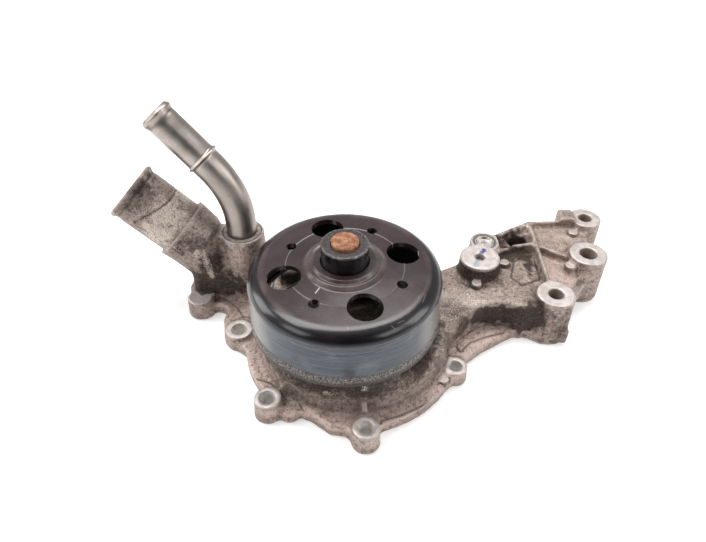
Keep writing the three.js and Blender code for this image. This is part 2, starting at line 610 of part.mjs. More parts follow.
function heaterTube() {
  const { x, y } = TUBE_SOCKET;
  const heading = new THREE.Vector3(Math.cos(TUBE_HEADING), Math.sin(TUBE_HEADING), 0);
  const up = new THREE.Vector3(0, 0, 1);
  const centre = new THREE.Vector3(x, y, TUBE_BEND_Z).addScaledVector(heading, TUBE_BEND_R);
  const onArc = (angle) => centre.clone()
    .addScaledVector(heading, -TUBE_BEND_R * Math.cos(angle))
    .addScaledVector(up, TUBE_BEND_R * Math.sin(angle));
  const straight = heading.clone().multiplyScalar(Math.sin(TUBE_BEND_ANGLE));
  straight.addScaledVector(up, Math.cos(TUBE_BEND_ANGLE));
  const bendEnd = onArc(TUBE_BEND_ANGLE);
  const along = (distance) => bendEnd.clone().addScaledVector(straight, distance);
  // A round bar that follows the tube and runs past both of its ends by the given length.
  const bar = (radius, extra) => {
    const points = [];
    for (const z of [TUBE_FOOT_Z - extra, TUBE_FOOT_Z + 8, TUBE_SOCKET_Z]) {
      points.push(new THREE.Vector3(x, y, z));
    }
    for (let step = 0; step <= BEND_STEPS; step += 1) {
      points.push(onArc((TUBE_BEND_ANGLE * step) / BEND_STEPS));
    }
    for (const share of [0.25, 0.5, 0.75]) {
      points.push(along(TUBE_STRAIGHT * share));
    }
    points.push(along(TUBE_STRAIGHT + extra));
    return solid(new THREE.ExtrudeGeometry(circle(0, 0, radius), {
      steps: 18,
      curveSegments: 8,
      bevelEnabled: false,
      extrudePath: new THREE.CatmullRomCurve3(points),
    }));
  };
  const bead = (from, to, radius, endRadius) => rod(along(from), along(to), radius, 16, endRadius);
  const outer = join(
    bar(TUBE_R, 0),
    bead(TUBE_STOP_BEAD - 1.2, TUBE_STOP_BEAD, TUBE_R, TUBE_R + 1.3),
    bead(TUBE_STOP_BEAD, TUBE_STOP_BEAD + 1.2, TUBE_R + 1.3, TUBE_R),
    bead(TUBE_STRAIGHT - 4.4, TUBE_STRAIGHT - 2.8, TUBE_R, TUBE_R + 0.8),
    bead(TUBE_STRAIGHT - 2.8, TUBE_STRAIGHT - 1.2, TUBE_R + 0.8, TUBE_R),
  );
  const inner = bar(TUBE_BORE_R, 1);
  return outer.subtract(inner);
}

function tubeSeal() {
  const [inner, outer] = [TUBE_R + GAP, 12.4];
  const ring = turned([
    [inner + 0.5, TUBE_SOCKET_Z - 3.6], [outer - 0.5, TUBE_SOCKET_Z - 3.6], [outer, TUBE_SOCKET_Z - 2.4],
    [outer - 0.5, TUBE_SOCKET_Z - 1.2], [inner + 0.5, TUBE_SOCKET_Z - 1.2], [inner, TUBE_SOCKET_Z - 2.4],
  ], 24);
  return ring.translate(TUBE_SOCKET.x, TUBE_SOCKET.y, 0);
}

function corePlug() {
  const { x, y } = PLUG_BOSS;
  const plug = turned([[0, 31.2], [7, 31.2], [7, 34.4], [6.2, 34.4], [5, 32.6], [0, 32.4]], 20);
  return plug.translate(x, y, 0);
}

addMesh('heater_tube', heaterTube(), TUBE_STEEL);
addMesh('heater_tube_seal', tubeSeal(), RUBBER);
addMesh('core_plug', corePlug(), STEEL);

export default pump;
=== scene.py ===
"""Looks of the engine water pump: fine meshes, materials, lights and camera, in the CAD frame.

Lengths are given in millimetres and turned into metres when a mesh is made.
"""

import itertools
import math

import bmesh
import bpy
import numpy as np
import openvdb
from mathutils import Matrix, Vector


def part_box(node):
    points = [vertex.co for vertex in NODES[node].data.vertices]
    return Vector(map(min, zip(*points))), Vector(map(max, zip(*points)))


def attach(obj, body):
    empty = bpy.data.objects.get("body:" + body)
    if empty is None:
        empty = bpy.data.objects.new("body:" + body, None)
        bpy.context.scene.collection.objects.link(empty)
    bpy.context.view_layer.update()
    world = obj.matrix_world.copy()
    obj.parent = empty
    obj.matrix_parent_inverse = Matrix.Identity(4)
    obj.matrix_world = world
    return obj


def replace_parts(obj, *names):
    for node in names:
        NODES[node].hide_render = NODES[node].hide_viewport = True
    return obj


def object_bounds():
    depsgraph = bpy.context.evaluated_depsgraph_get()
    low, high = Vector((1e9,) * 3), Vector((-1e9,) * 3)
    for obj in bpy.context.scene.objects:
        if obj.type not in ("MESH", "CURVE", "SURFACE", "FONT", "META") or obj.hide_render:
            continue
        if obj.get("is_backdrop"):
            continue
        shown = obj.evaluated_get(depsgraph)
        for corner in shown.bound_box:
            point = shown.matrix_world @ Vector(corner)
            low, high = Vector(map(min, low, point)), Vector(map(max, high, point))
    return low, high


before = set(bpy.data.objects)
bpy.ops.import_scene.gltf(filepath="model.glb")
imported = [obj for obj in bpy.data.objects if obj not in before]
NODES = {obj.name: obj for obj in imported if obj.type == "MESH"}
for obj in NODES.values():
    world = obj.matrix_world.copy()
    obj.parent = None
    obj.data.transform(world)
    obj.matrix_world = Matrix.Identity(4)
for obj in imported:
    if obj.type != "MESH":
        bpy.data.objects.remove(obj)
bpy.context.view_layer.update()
MM = 0.001
UP = Vector((0, 0, 1))


# ---------- mesh helpers ----------
def add_item(name, data):
    """An object of the scene that holds a mesh, a light or a camera."""
    item = bpy.data.objects.new(name, data)
    bpy.context.scene.collection.objects.link(item)
    return item


def shade(mesh, sharp):
    """Smooth shading, but for edges sharper than an angle in degrees."""
    mesh.shade_smooth()
    mesh.set_sharp_from_angle(angle=math.radians(sharp))


def new_object(name, vertices, faces, body, material, sharp=35.0):
    """A smooth-shaded mesh, given in millimetres, that rides on a body."""
    mesh = bpy.data.meshes.new(name)
    if isinstance(faces, np.ndarray):
        count = len(faces)
        mesh.vertices.add(len(vertices))
        mesh.vertices.foreach_set("co", (vertices * MM).astype(np.float32).ravel())
        mesh.loops.add(count * 4)
        mesh.loops.foreach_set("vertex_index", faces.astype(np.int32).ravel())
        mesh.polygons.add(count)
        mesh.polygons.foreach_set("loop_start", np.arange(0, count * 4, 4, dtype=np.int32))
        mesh.update(calc_edges=True)
    else:
        scaled = [(v[0] * MM, v[1] * MM, v[2] * MM) for v in vertices]
        mesh.from_pydata(scaled, [], faces)
    mesh.validate()
    shade(mesh, sharp)
    mesh.materials.append(material)
    item = add_item(name, mesh)
    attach(item, body)
    return item


def add_map(item, name, values):
    """Stores a number for every vertex, for the item's material to read."""
    layer = item.data.attributes.new(name, "FLOAT", "POINT")
    layer.data.foreach_set("value", np.array(values, np.float32))


def rounded(corners, steps=4):
    """A closed profile with its corners rounded: each corner is (x, y) or (x, y, radius)."""
    points = []
    count = len(corners)
    for index, corner in enumerate(corners):
        here = Vector(corner[:2])
        if len(corner) < 3:
            points.append(here)
            continue
        before = Vector(corners[index - 1][:2]) - here
        after = Vector(corners[(index + 1) % count][:2]) - here
        half = before.angle(after) / 2
        reach = min(corner[2] / math.tan(half), 0.49 * before.length, 0.49 * after.length)
        start = here + before.normalized() * reach
        end = here + after.normalized() * reach
        for step in range(steps + 1):
            t = step / steps
            points.append((1 - t) ** 2 * start + 2 * t * (1 - t) * here + t * t * end)
    return points


def skin(rings, capped=False):
    """Faces between rings of vertex numbers: the last ring joins the first, or both ends get a cap.

    A ring of one vertex is a point that the next ring closes on.
    """
    faces = []
    for lower, upper in zip(rings, rings[1:] if capped else rings[1:] + rings[:1]):
        count = max(len(lower), len(upper))
        for step in range(count if count > 1 else 0):
            after = (step + 1) % count
            if len(lower) == 1:
                faces.append((lower[0], upper[after], upper[step]))
            elif len(upper) == 1:
                faces.append((lower[step], lower[after], upper[0]))
            else:
                faces.append((lower[step], lower[after], upper[after], upper[step]))
    if capped:
        faces += [tuple(rings[0]), tuple(rings[-1])]
    return faces


def hoop(place, across, other, radius, sides):
    """Vertices round a place, in the plane of two directions."""
    vertices = []
    for step in range(sides):
        turn = 2 * math.pi * step / sides
        offset = radius * math.cos(turn), radius * math.sin(turn)
        vertices.append(place + across * offset[0] + other * offset[1])
    return vertices


def even_rings(count, sides, first=0):
    """The vertex numbers of rings that have the same number of sides."""
    return [range(first + ring * sides, first + (ring + 1) * sides) for ring in range(count)]


def fix_normals(item):
    """Turns the faces of a closed mesh outwards."""
    shape = bmesh.new()
    shape.from_mesh(item.data)
    bmesh.ops.recalc_face_normals(shape, faces=shape.faces)
    shape.to_mesh(item.data)
    shape.free()
    return item


def lathe(name, profile, body, material, segments=96, centre=(0.0, 0.0), sharp=35.0):
    """A closed profile of (radius, z) points turned about a vertical axis."""
    x, y = centre
    vertices = []
    rings = []
    for radius, z in profile:
        first = len(vertices)
        for step in range(segments if radius > 1e-6 else 1):
            angle = 2 * math.pi * step / segments
            vertices.append((x + radius * math.cos(angle), y + radius * math.sin(angle), z))
        rings.append(range(first, len(vertices)))
    return fix_normals(new_object(name, vertices, skin(rings), body, material, sharp))


def turned_piece(node, name, body, slot_name, material, corners, centre=(0.0, 0.0)):
    """A turned piece that takes the place of a CAD node."""
    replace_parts(lathe(name, rounded(corners), body, material, centre=centre), node)


def apply_modifiers(item):
    """Replaces an item's mesh by what its modifiers make of it."""
    bpy.context.view_layer.update()
    graph = bpy.context.evaluated_depsgraph_get()
    made = bpy.data.meshes.new_from_object(item.evaluated_get(graph))
    item.modifiers.clear()
    item.data = made


def combine(item, others, operation):
    """Joins other solids to an item or cuts them out of it, and removes them."""
    for other in others:
        step = item.modifiers.new("combine", "BOOLEAN")
        step.operation = operation
        step.solver = "EXACT"
        step.object = other
    apply_modifiers(item)
    for other in others:
        bpy.data.objects.remove(other)


def plain_rod(start, end, radius, sides):
    """A loose cylinder used as a cutting tool, in millimetres."""
    start = Vector(start)
    end = Vector(end)
    shape = bmesh.new()
    bmesh.ops.create_cone(
        shape, cap_ends=True, segments=sides, radius1=radius * MM, radius2=radius * MM,
        depth=(end - start).length * MM,
    )
    turn = (end - start).to_track_quat("Z", "Y").to_matrix().to_4x4()
    shape.transform(Matrix.Translation((start + end) / 2 * MM) @ turn)
    mesh = bpy.data.meshes.new("tool")
    shape.to_mesh(mesh)
    shape.free()
    return add_item("tool", mesh)


# ---------- material helpers ----------
class Wire:
    """The output of a shader node; arithmetic on it adds more nodes."""

    def __init__(self, nodes, socket):
        self.nodes = nodes
        self.socket = socket

    def __add__(self, other):
        return self.nodes.math("ADD", self, other)

    def __sub__(self, other):
        return self.nodes.math("SUBTRACT", self, other)

    def __mul__(self, other):
        return self.nodes.math("MULTIPLY", self, other)

    def ramp(self, low, high, to_low=0.0, to_high=1.0):
        """A smooth step that is to_low at low and to_high at high."""
        numbers = enumerate((self, low, high, to_low, to_high))
        return self.nodes.add("ShaderNodeMapRange", dict(numbers), interpolation_type="SMOOTHSTEP")


class Nodes:
    """Short calls that add nodes to a shader tree."""

    def __init__(self, tree):
        self.tree = tree

    def put(self, value, socket):
        """Links a wire to a socket, or sets the socket to a plain value."""
        if isinstance(value, Wire):
            self.tree.links.new(value.socket, socket)
        elif socket.type == "RGBA":
            socket.default_value = (*value, 1.0)
        else:
            socket.default_value = value

    def add(self, kind, inputs, output=0, **settings):
        """Adds a node, feeds its inputs by number or name, and returns one of its outputs."""
        node = self.tree.nodes.new(kind)
        for key, value in settings.items():
            setattr(node, key, value)
        for key, value in inputs.items():
            self.put(value, node.inputs[key])
        return Wire(self, node.outputs[output])

    def math(self, operation, a, b=0.0, clamp=False):
        return self.add("ShaderNodeMath", {0: a, 1: b}, operation=operation, use_clamp=clamp)

    def mix(self, share, a, b, kind="MIX"):
        """A colour that is a at a share of 0 and b at a share of 1."""
        inputs = {0: share, 6: a, 7: b}
        return self.add("ShaderNodeMix", inputs, 2, data_type="RGBA", blend_type=kind)

    def lerp(self, share, a, b):
        """A number that is a at a share of 0 and b at a share of 1."""
        return self.add("ShaderNodeMix", {0: share, 2: a, 3: b}, data_type="FLOAT")

    def layers(self, colour, *coats):
        """Coats laid over a colour one after another; each is its share and its own colour."""
        for share, coat in coats:
            colour = self.mix(share, colour, coat)
        return colour


class Look(Nodes):
    """A procedural material."""

    def __init__(self, name):
        self.material = bpy.data.materials.new(name)
        self.material.use_nodes = True
        super().__init__(self.material.node_tree)
        self.shader = self.tree.nodes["Principled BSDF"]
        self.place = self.add("ShaderNodeTexCoord", {}, "Object")

    def noise(self, size, detail, roughness, stretch=(1, 1, 1), offset=(0, 0, 0)):
        """Noise from 0 to 1 whose blobs are about that many millimetres across."""
        scale = tuple(1 / (size * MM * s) for s in stretch)
        vector = self.add("ShaderNodeMapping", {0: self.place, 1: offset, 3: scale})
        inputs = {"Vector": vector, "Scale": 1.0, "Detail": detail, "Roughness": roughness}
        return self.add("ShaderNodeTexNoise", inputs)

    def attribute(self, name):
        return self.add("ShaderNodeAttribute", {}, "Fac", attribute_name=name)

    def xyz(self):
        """Position in millimetres."""
        split = self.add("ShaderNodeSeparateXYZ", {0: self.place}).socket.node
        return [Wire(self, output) * (1 / MM) for output in split.outputs]

    def radius(self):
        """Distance from the shaft axis in millimetres, and height in millimetres."""
        x, y, z = self.xyz()
        return self.math("SQRT", x * x + y * y), z

    def stroke(self, x, y, centre, heading):
        """Distances from a centre, along and across a heading in radians."""
        c, s = math.cos(heading), math.sin(heading)
        dx = x - centre[0]
        dy = y - centre[1]
        return self.math("ABSOLUTE", dx * c + dy * s), self.math("ABSOLUTE", dy * c - dx * s)

    def bump(self, height, strength, distance, **after):
        """A bumped normal; the distance is in millimetres."""
        inputs = {"Strength": strength, "Distance": distance * MM, "Height": height, **after}
        return self.add("ShaderNodeBump", inputs)

    def finish(self, **sockets):
        """Feeds the shader's inputs, named with underscores for spaces."""
        for name, value in sockets.items():
            self.put(value, self.shader.inputs[name.replace("_", " ")])
        return self.material


# ---------- fields: the housing as a signed distance on a grid ----------
VOXEL = 0.7
MARGIN = 6
FAR = 99.0
BOX_LOW, BOX_HIGH = (np.array(corner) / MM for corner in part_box("pump_housing"))
LOW = np.floor(BOX_LOW / VOXEL).astype(int) - MARGIN
HIGH = np.ceil(BOX_HIGH / VOXEL).astype(int) + MARGIN
SHAPE = tuple(int(n) for n in HIGH - LOW + 1)
GRID = np.meshgrid(
    *(((np.arange(n) + low) * VOXEL).astype(np.float32) for n, low in zip(SHAPE, LOW)),
    indexing="ij", sparse=True,
)
TRANSFORM = openvdb.createLinearTransform(voxelSize=VOXEL)


def mesh_arrays(item):
    """Vertices in millimetres and triangles of a mesh object."""
    mesh = item.data
    mesh.calc_loop_triangles()
    points = np.zeros(len(mesh.vertices) * 3, np.float32)
    mesh.vertices.foreach_get("co", points)
    corners = np.zeros(len(mesh.loop_triangles) * 3, np.int32)
    mesh.loop_triangles.foreach_get("vertices", corners)
    points = points.reshape(-1, 3) / MM
    unique, place = np.unique(points.round(4), axis=0, return_inverse=True)
    triangles = place.reshape(-1)[corners].reshape(-1, 3)
    return unique.astype(np.float32), triangles.astype(np.uint32)


def distance_to_mesh(points, band, **faces):
    """A level set round a closed mesh of triangles or quads, exact within a band in millimetres."""
    return openvdb.FloatGrid.createLevelSetFromPolygons(
        points.astype(np.float32), transform=TRANSFORM, halfWidth=band / VOXEL + 2, **faces
    )


def dense(level_set):
    """A level set's distances on the whole grid."""
    field = np.full(SHAPE, FAR, np.float32)
    level_set.copyToArray(field, ijk=tuple(int(n) for n in LOW))
    return field


def surface(level_set, level=0.0):
    """The points and quads where a level set has a value."""
    return level_set.convertToQuads(level)[:2]


def from_dense(field):
    """A level set from distances on the whole grid."""
    level_set = openvdb.FloatGrid(FAR)
    level_set.copyFromArray(field, ijk=tuple(int(n) for n in LOW))
    level_set.transform = TRANSFORM
    return level_set


def block(low, high):
    """Slices and coordinates of the part of the grid between two corners in millimetres."""
    where = tuple(
        slice(
            max(0, math.floor(low[axis] / VOXEL) - int(LOW[axis])),
            min(SHAPE[axis], math.ceil(high[axis] / VOXEL) - int(LOW[axis]) + 1),
        )
        for axis in range(3)
    )
    return where, [GRID[0][where[0]], GRID[1][:, where[1]], GRID[2][:, :, where[2]]]


def block_along(start, end, margin):
    """The part of the grid round a line."""
    return block(np.minimum(start, end) - margin, np.maximum(start, end) + margin)


def block_round(x, y, reach, low, high):
    """The part of the grid round a vertical axis, between two heights."""
    return block((x - reach, y - reach, low), (x + reach, y + reach, high))


def smooth_min(a, b, reach):
    """The union of two fields with a fillet of about the given reach."""
    share = np.maximum(reach - np.abs(a - b), 0) / reach
    return np.minimum(a, b) - share * share * reach / 4


def rod_field(axes, start, end, radius, end_radius=None):
    """Signed distances to the side of a cone, and to its ends."""
    start = np.array(start, np.float32)
    direction = np.array(end, np.float32) - start
    length = float(np.linalg.norm(direction))
    direction /= length
    offsets = [axes[axis] - start[axis] for axis in range(3)]
    along = sum(offsets[axis] * direction[axis] for axis in range(3))
    square = sum(offsets[axis] ** 2 for axis in range(3)) - along**2
    across = np.sqrt(np.maximum(square, 0))
    end_radius = radius if end_radius is None else end_radius
    slope = (end_radius - radius) / length
    side = (across - (radius + slope * along)) / math.sqrt(1 + slope * slope)
    return side, np.maximum(-along, along - length)


NECK_ROOT = np.array([-109.5, 55.0, 58.5])
NECK_AXIS = np.array([-0.74, 0.11, 0.66]) / np.linalg.norm([-0.74, 0.11, 0.66])
NECK_LENGTH = 40.0
NECK_R = 18.6
THROAT_FOOT = (-84.0, 57.0, 20.0)


def on_neck(distance):
    """The point of the neck's axis at a distance from its root."""
    return NECK_ROOT + NECK_AXIS * distance


SOCKET = (-68.9, 53.0)
SOCKET_TOP = 58.0
SOCKET_R = 14.4
IDLER = (90.4, 49.3)
IDLER_TOP = 41.0
IDLER_R = 13.3
IDLER_HOLE_R = 3.4
PLUG = (98.1, 73.7)
PLUG_R = 10.2
PLUG_HOLE_R = 7.4
BRACKET_TOP = 35.0
# Bolt bosses: x, y, radius, top, hole radius.
BOSSES = [
    (13.2, -68.4, 7.8, 14.5, 4.3),
    (-44.2, -48.8, 8.0, 14.5, 4.4),
    (-69.4, 7.3, 8.7, 12.0, 4.8),
    (-99.8, 35.5, 8.8, 14.0, 0.0),
    (69.0, -20.3, 7.4, 10.8, 3.95),
    (136.2, 20.4, 12.5, BRACKET_TOP, 4.9),
    (168.7, 61.7, 13.0, BRACKET_TOP, 5.9),
    (178.0, 103.5, 11.6, BRACKET_TOP, 4.8),
]
# Other round faces on top of the casting, in the same terms.
ROUND_TOPS = [
    (*IDLER, IDLER_R, IDLER_TOP, IDLER_HOLE_R),
    (*PLUG, PLUG_R, BRACKET_TOP, PLUG_HOLE_R),
]
# Surfaces of the casting that are made exactly round: foot, top, foot radius, top radius.
ROUND_PARTS = [((x, y, 0), (x, y, top), r + 0.8, r) for x, y, r, top, _ in BOSSES] + [
    ((*IDLER, 0), (*IDLER, IDLER_TOP), IDLER_R + 1.8, IDLER_R),
    ((*PLUG, 0), (*PLUG, BRACKET_TOP), PLUG_R + 1.0, PLUG_R),
    ((*SOCKET, 0), (*SOCKET, SOCKET_TOP), SOCKET_R + 0.6, SOCKET_R),
    ((0, 0, 34), (0, 0, 65), 28.5, 26.0),
    (on_neck(0.5), on_neck(NECK_LENGTH - 4.5), NECK_R, NECK_R),
    (on_neck(-16), NECK_ROOT, 19.6, 21.2),
    (THROAT_FOOT, on_neck(-8), 16.5, 20.4),
]
# Holes that are made exactly round: start, end, radius.
HOLES = [((x, y, -2), (x, y, top + 2), hole) for x, y, _, top, hole in BOSSES if hole > 0] + [
    ((*IDLER, 25.5), (*IDLER, IDLER_TOP + 2), IDLER_HOLE_R),
    ((*PLUG, 30.5), (*PLUG, BRACKET_TOP + 2), PLUG_HOLE_R),
    ((*SOCKET, 54), (*SOCKET, SOCKET_TOP + 2), 12.8),
    (on_neck(-7), on_neck(NECK_LENGTH + 2), 15.5),
]
# Small cast pads on the bracket, the arm and the flange: x, y, radius, top.
PADS = [
    (165.5, 88.5, 3.5, 33.2), (155.5, 54.0, 4.0, 31.0), (109.3, 54.3, 3.3, 32.6),
    (86.8, 32.5, 3.3, 32.6), (60.5, -30.0, 3.6, 10.6),
]
# Cast ribs and posts: start, end, radius, reach of the fillet.
RIBS = [
    ((11.0, -46.0, 25.0), (13.0, -64.0, 9.5), 1.7, 2.2),
    ((-92.0, 40.0, 10.0), (-99.0, 37.0, 10.5), 3.0, 3.0),
    ((-42.0, 56.0, 4.0), (-42.0, 56.0, 19.5), 4.6, 3.0),
    ((-36.0, 59.0, 4.0), (-36.0, 59.0, 19.5), 4.6, 3.0),
]
FILLET = 2.6
EDGE_ROUND = 0.7
# Thickness of the exact shells, and how far they may move a surface.
SHELL = 1.2
ROUND_REACH = 0.9
DOME_TOP = 29.0
DOME_ROUND = 9.0
BORE_ZONE_R = 22.6
HOLLOW_R = 47
HOLLOW_TOP = 24
# Heights of the two rows of bearing balls.
BALL_ROWS = (38.5, 55.5)


def volute_radius(angle):
    """Outer radius of the spiral volute at an angle in degrees, nearly round at the front."""
    turn = (angle + 118 + 720) % 360
    growth = np.clip((turn - 28) / 68, 0, 1)
    shrink = np.clip((turn - 120) / 100, 0, 1)
    return 53 + 12 * np.maximum(0, growth**1.3 - shrink**1.5)


def dome_field(axes):
    """Signed distance to the volute's dome."""
    across = np.sqrt(axes[0] ** 2 + axes[1] ** 2)
    edge = volute_radius(np.degrees(np.arctan2(axes[1], axes[0])))
    out = across - edge + DOME_ROUND
    up = axes[2] - DOME_TOP + DOME_ROUND
    corner = np.sqrt(np.maximum(out, 0) ** 2 + np.maximum(up, 0) ** 2)
    return corner + np.minimum(np.maximum(out, up), 0) - DOME_ROUND


def make_round(field):
    """Replaces the facets of the casting's round surfaces by exact ones, inside and out."""

    def lay_shell(where, shell, most):
        """Adds a thin shell, but moves the surface by no more than most."""
        near = field[where]
        field[where] = np.minimum(near, np.maximum(shell, near - most))

    for start, end, radius, end_radius in ROUND_PARTS:
        where, axes = block_along(start, end, max(radius, end_radius) + 3)
        side, ends = rod_field(axes, start, end, radius, end_radius)
        lay_shell(where, np.maximum(np.maximum(side, -side - SHELL), ends), ROUND_REACH)
    where, axes = block_round(0, 0, 70, -1, 32)
    dome = dome_field(axes)
    across = np.sqrt(axes[0] ** 2 + axes[1] ** 2)
    limits = np.maximum(30 - across, 0.7 - axes[2])
    lay_shell(where, np.maximum(np.maximum(dome, -dome - 3), limits), 1.5)
    for start, end, radius in HOLES:
        where, axes = block_along(start, end, radius + 2)
        near = field[where]
        hole = np.maximum(*rod_field(axes, start, end, radius))
        field[where] = np.maximum(near, np.minimum(-hole, near + ROUND_REACH))


def keep_machined(field, crisp, rough_cast):
    """Puts the crisp machined places back into the rounded casting."""

    def put_back(where, inside, source):
        field[where] = np.where(inside, source[where], field[where])

    # Turned faces: x, y, foot, radius, top. The boss without a hole is left as cast.
    machined = [(x, y, top - 1.6, r + 1.4, top + 3) for x, y, r, top, hole in BOSSES if hole > 0]
    machined += [
        (*IDLER, IDLER_TOP - 1.6, 15.0, IDLER_TOP + 3),
        (*PLUG, 29.0, 11.4, BRACKET_TOP + 3),
        (*SOCKET, 40.0, 13.6, SOCKET_TOP + 3),
        (0, 0, 60.0, 29.0, 70.0),
    ]
    for x, y, foot, radius, top in machined:
        where, axes = block_round(x, y, radius + 2, foot, top)
        inside = (axes[0] - x) ** 2 + (axes[1] - y) ** 2 < radius**2
        put_back(where, inside & (axes[2] > foot), rough_cast)
    # The bore round the shaft, and the face that lies on the engine.
    where, axes = block_round(0, 0, 24, 10, 70)
    put_back(where, axes[0] ** 2 + axes[1] ** 2 < BORE_ZONE_R**2, crisp)
    where, _ = block(BOX_LOW - 5, (*BOX_HIGH[:2] + 5, 1.4))
    put_back(where, True, rough_cast)
    # The collar's edge at the root of the neck.
    where, axes = block_along(NECK_ROOT, NECK_ROOT, 26)
    along = sum((axis - start) * part for axis, start, part in zip(axes, NECK_ROOT, NECK_AXIS))
    put_back(where, (along > -3.0) & (along < 4.2), crisp)
    # The seal grooves.
    where, _ = block(BOX_LOW - 5, (*BOX_HIGH[:2] + 5, 5.0))
    put_back(where, seal_zone[where] < 1.6, crisp)


def blur(field, radius):
    """A box blur over 2 * radius + 1 cells along each axis."""
    size = 2 * radius + 1
    for axis in range(3):
        padding = [(radius + 1, radius) if a == axis else (0, 0) for a in range(3)]
        total = np.cumsum(np.pad(field, padding, mode="edge"), axis=axis, dtype=np.float64)
        front = np.take(total, np.arange(size, total.shape[axis]), axis=axis)
        back = np.take(total, np.arange(0, total.shape[axis] - size), axis=axis)
        field = ((front - back) / size).astype(np.float32)
    return field


def blend(cells, base, share):
    """Values of points from the eight cells round each; cells(i, j, k) gives a cell's value."""
    total = 0
    for corner in itertools.product((0, 1), repeat=3):
        weight = 1.0
        for axis, step in enumerate(corner):
            weight = weight * (share[:, axis] if step else 1 - share[:, axis])
        total = total + weight * cells(*(base + corner).T)
    return total


def sample(field, points):
    """The field's value at points in millimetres, between grid cells."""
    cell = points / VOXEL - LOW
    base = np.clip(np.floor(cell).astype(int), 0, np.array(SHAPE) - 2)
    return blend(lambda i, j, k: field[i, j, k], base, np.clip(cell - base, 0, 1))


class Lattice:
    """Smooth seeded noise from -1 to 1 at points in millimetres."""

    COUNT = 32

    def __init__(self, seed, size):
        self.values = np.random.default_rng(seed).uniform(-1, 1, (self.COUNT,) * 3)
        self.size = size

    def __call__(self, points):
        cell = points / self.size
        base = np.floor(cell).astype(int)
        share = cell - base
        share = share * share * (3 - 2 * share)
        return blend(lambda *ijk: self.values[tuple(n % self.COUNT for n in ijk)], base, share)


def add_ribs(field):
    """Cast ribs and posts that blend into the body, but stay out of its hollow."""
    for start, end, radius, reach in RIBS:
        where, axes = block_along(start, end, radius + 8)
        side, ends = rod_field(axes, start, end, radius)
        round_end = np.sqrt(np.maximum(side + radius, 0) ** 2 + ends**2) - radius
        near = field[where]
        merged = smooth_min(near, np.where(ends > 0, round_end, side), reach)
        field[where] = np.where(hollow_zone[where], near, merged)


def add_pads(field):
    """Small round pads that stand on the casting."""
    for x, y, radius, top in PADS:
        where, axes = block_round(x, y, radius + 2, top - 6, top + 2)
        pad = np.maximum(*rod_field(axes, (x, y, top - 4.5), (x, y, top), radius))
        field[where] = np.minimum(field[where], pad)


def add_foot(field):
    """The squared foot at the base of the front right boss."""
    centre = (138.8, 15.2, 5.4)
    half = (8.2, 7.6, 7.2)
    where, axes = block_along(np.subtract(centre, half), np.add(centre, half), 6)
    gaps = [np.abs(axis - c) - h + 1.0 for axis, c, h in zip(axes, centre, half)]
    outside = np.sqrt(sum(np.maximum(gap, 0) ** 2 for gap in gaps))
    inside = np.minimum(np.maximum(np.maximum(gaps[0], gaps[1]), gaps[2]), 0)
    shape = np.maximum(outside + inside - 1.0, 0.0 - axes[2])
    near = field[where]
    boss_x, boss_y = BOSSES[5][:2]
    boss = np.hypot(axes[0] - boss_x, axes[1] - boss_y) < 12.0
    field[where] = np.where(boss, near, smooth_min(near, shape, 1.2))


crisp_points, crisp_triangles = mesh_arrays(NODES["pump_housing"])
crisp_field = dense(distance_to_mesh(crisp_points, FILLET + 2.5, triangles=crisp_triangles))
seal_zone = np.full(SHAPE, FAR, np.float32)
for seal in ("outlet_gasket", "inlet_gasket"):
    seal_points, seal_triangles = mesh_arrays(NODES[seal])
    seal_field = dense(distance_to_mesh(seal_points, 3, triangles=seal_triangles))
    seal_zone = np.minimum(seal_zone, seal_field)

# Exact round surfaces, then inner corners filled and outer edges rounded by growing and shrinking.
round_field = crisp_field.copy()
make_round(round_field)
points, quads = surface(from_dense(round_field))
wide = distance_to_mesh(points, FILLET + 1, quads=quads)
points, quads = surface(wide, FILLET)
grown = distance_to_mesh(points, FILLET + EDGE_ROUND + 1, quads=quads)
rough_cast_field = dense(grown) + FILLET
points, quads = surface(grown, -FILLET - EDGE_ROUND)
body_field = dense(distance_to_mesh(points, 3, quads=quads)) - EDGE_ROUND
in_volute = (GRID[0] ** 2 + GRID[1] ** 2 < HOLLOW_R**2) & (GRID[2] < HOLLOW_TOP)
hollow_zone = (crisp_field > 0) & in_volute
add_ribs(body_field)
add_foot(body_field)
add_pads(body_field)
keep_machined(body_field, round_field, np.maximum(rough_cast_field, -FAR))
housing_points, housing_quads = surface(from_dense(body_field))
occupied = np.clip(0.5 - body_field / VOXEL, 0, 1).astype(np.float32)
near_share = blur(occupied, 3)
wide_share = blur(occupied, 10)


# ---------- housing: small shapes and paint maps on its surface ----------
def surface_normals(points_mm):
    """Outward directions of the body field."""
    slopes = []
    for axis in range(3):
        shift = np.zeros(3)
        shift[axis] = 0.8 * VOXEL
        slopes.append(sample(body_field, points_mm + shift) - sample(body_field, points_mm - shift))
    normals = np.stack(slopes, 1)
    return normals / np.maximum(np.linalg.norm(normals, axis=1, keepdims=True), 1e-6)


def distance_to_line(points_mm, corners):
    """Distance to a line through the corners."""
    best = np.full(len(points_mm), 1e9)
    for start, end in zip(corners[:-1], corners[1:]):
        start = np.array(start, float)
        step = np.array(end, float) - start
        share = np.clip((points_mm - start) @ step / (step @ step), 0, 1)
        gap = np.linalg.norm(points_mm - start - share[:, None] * step, axis=1)
        best = np.minimum(best, gap)
    return best


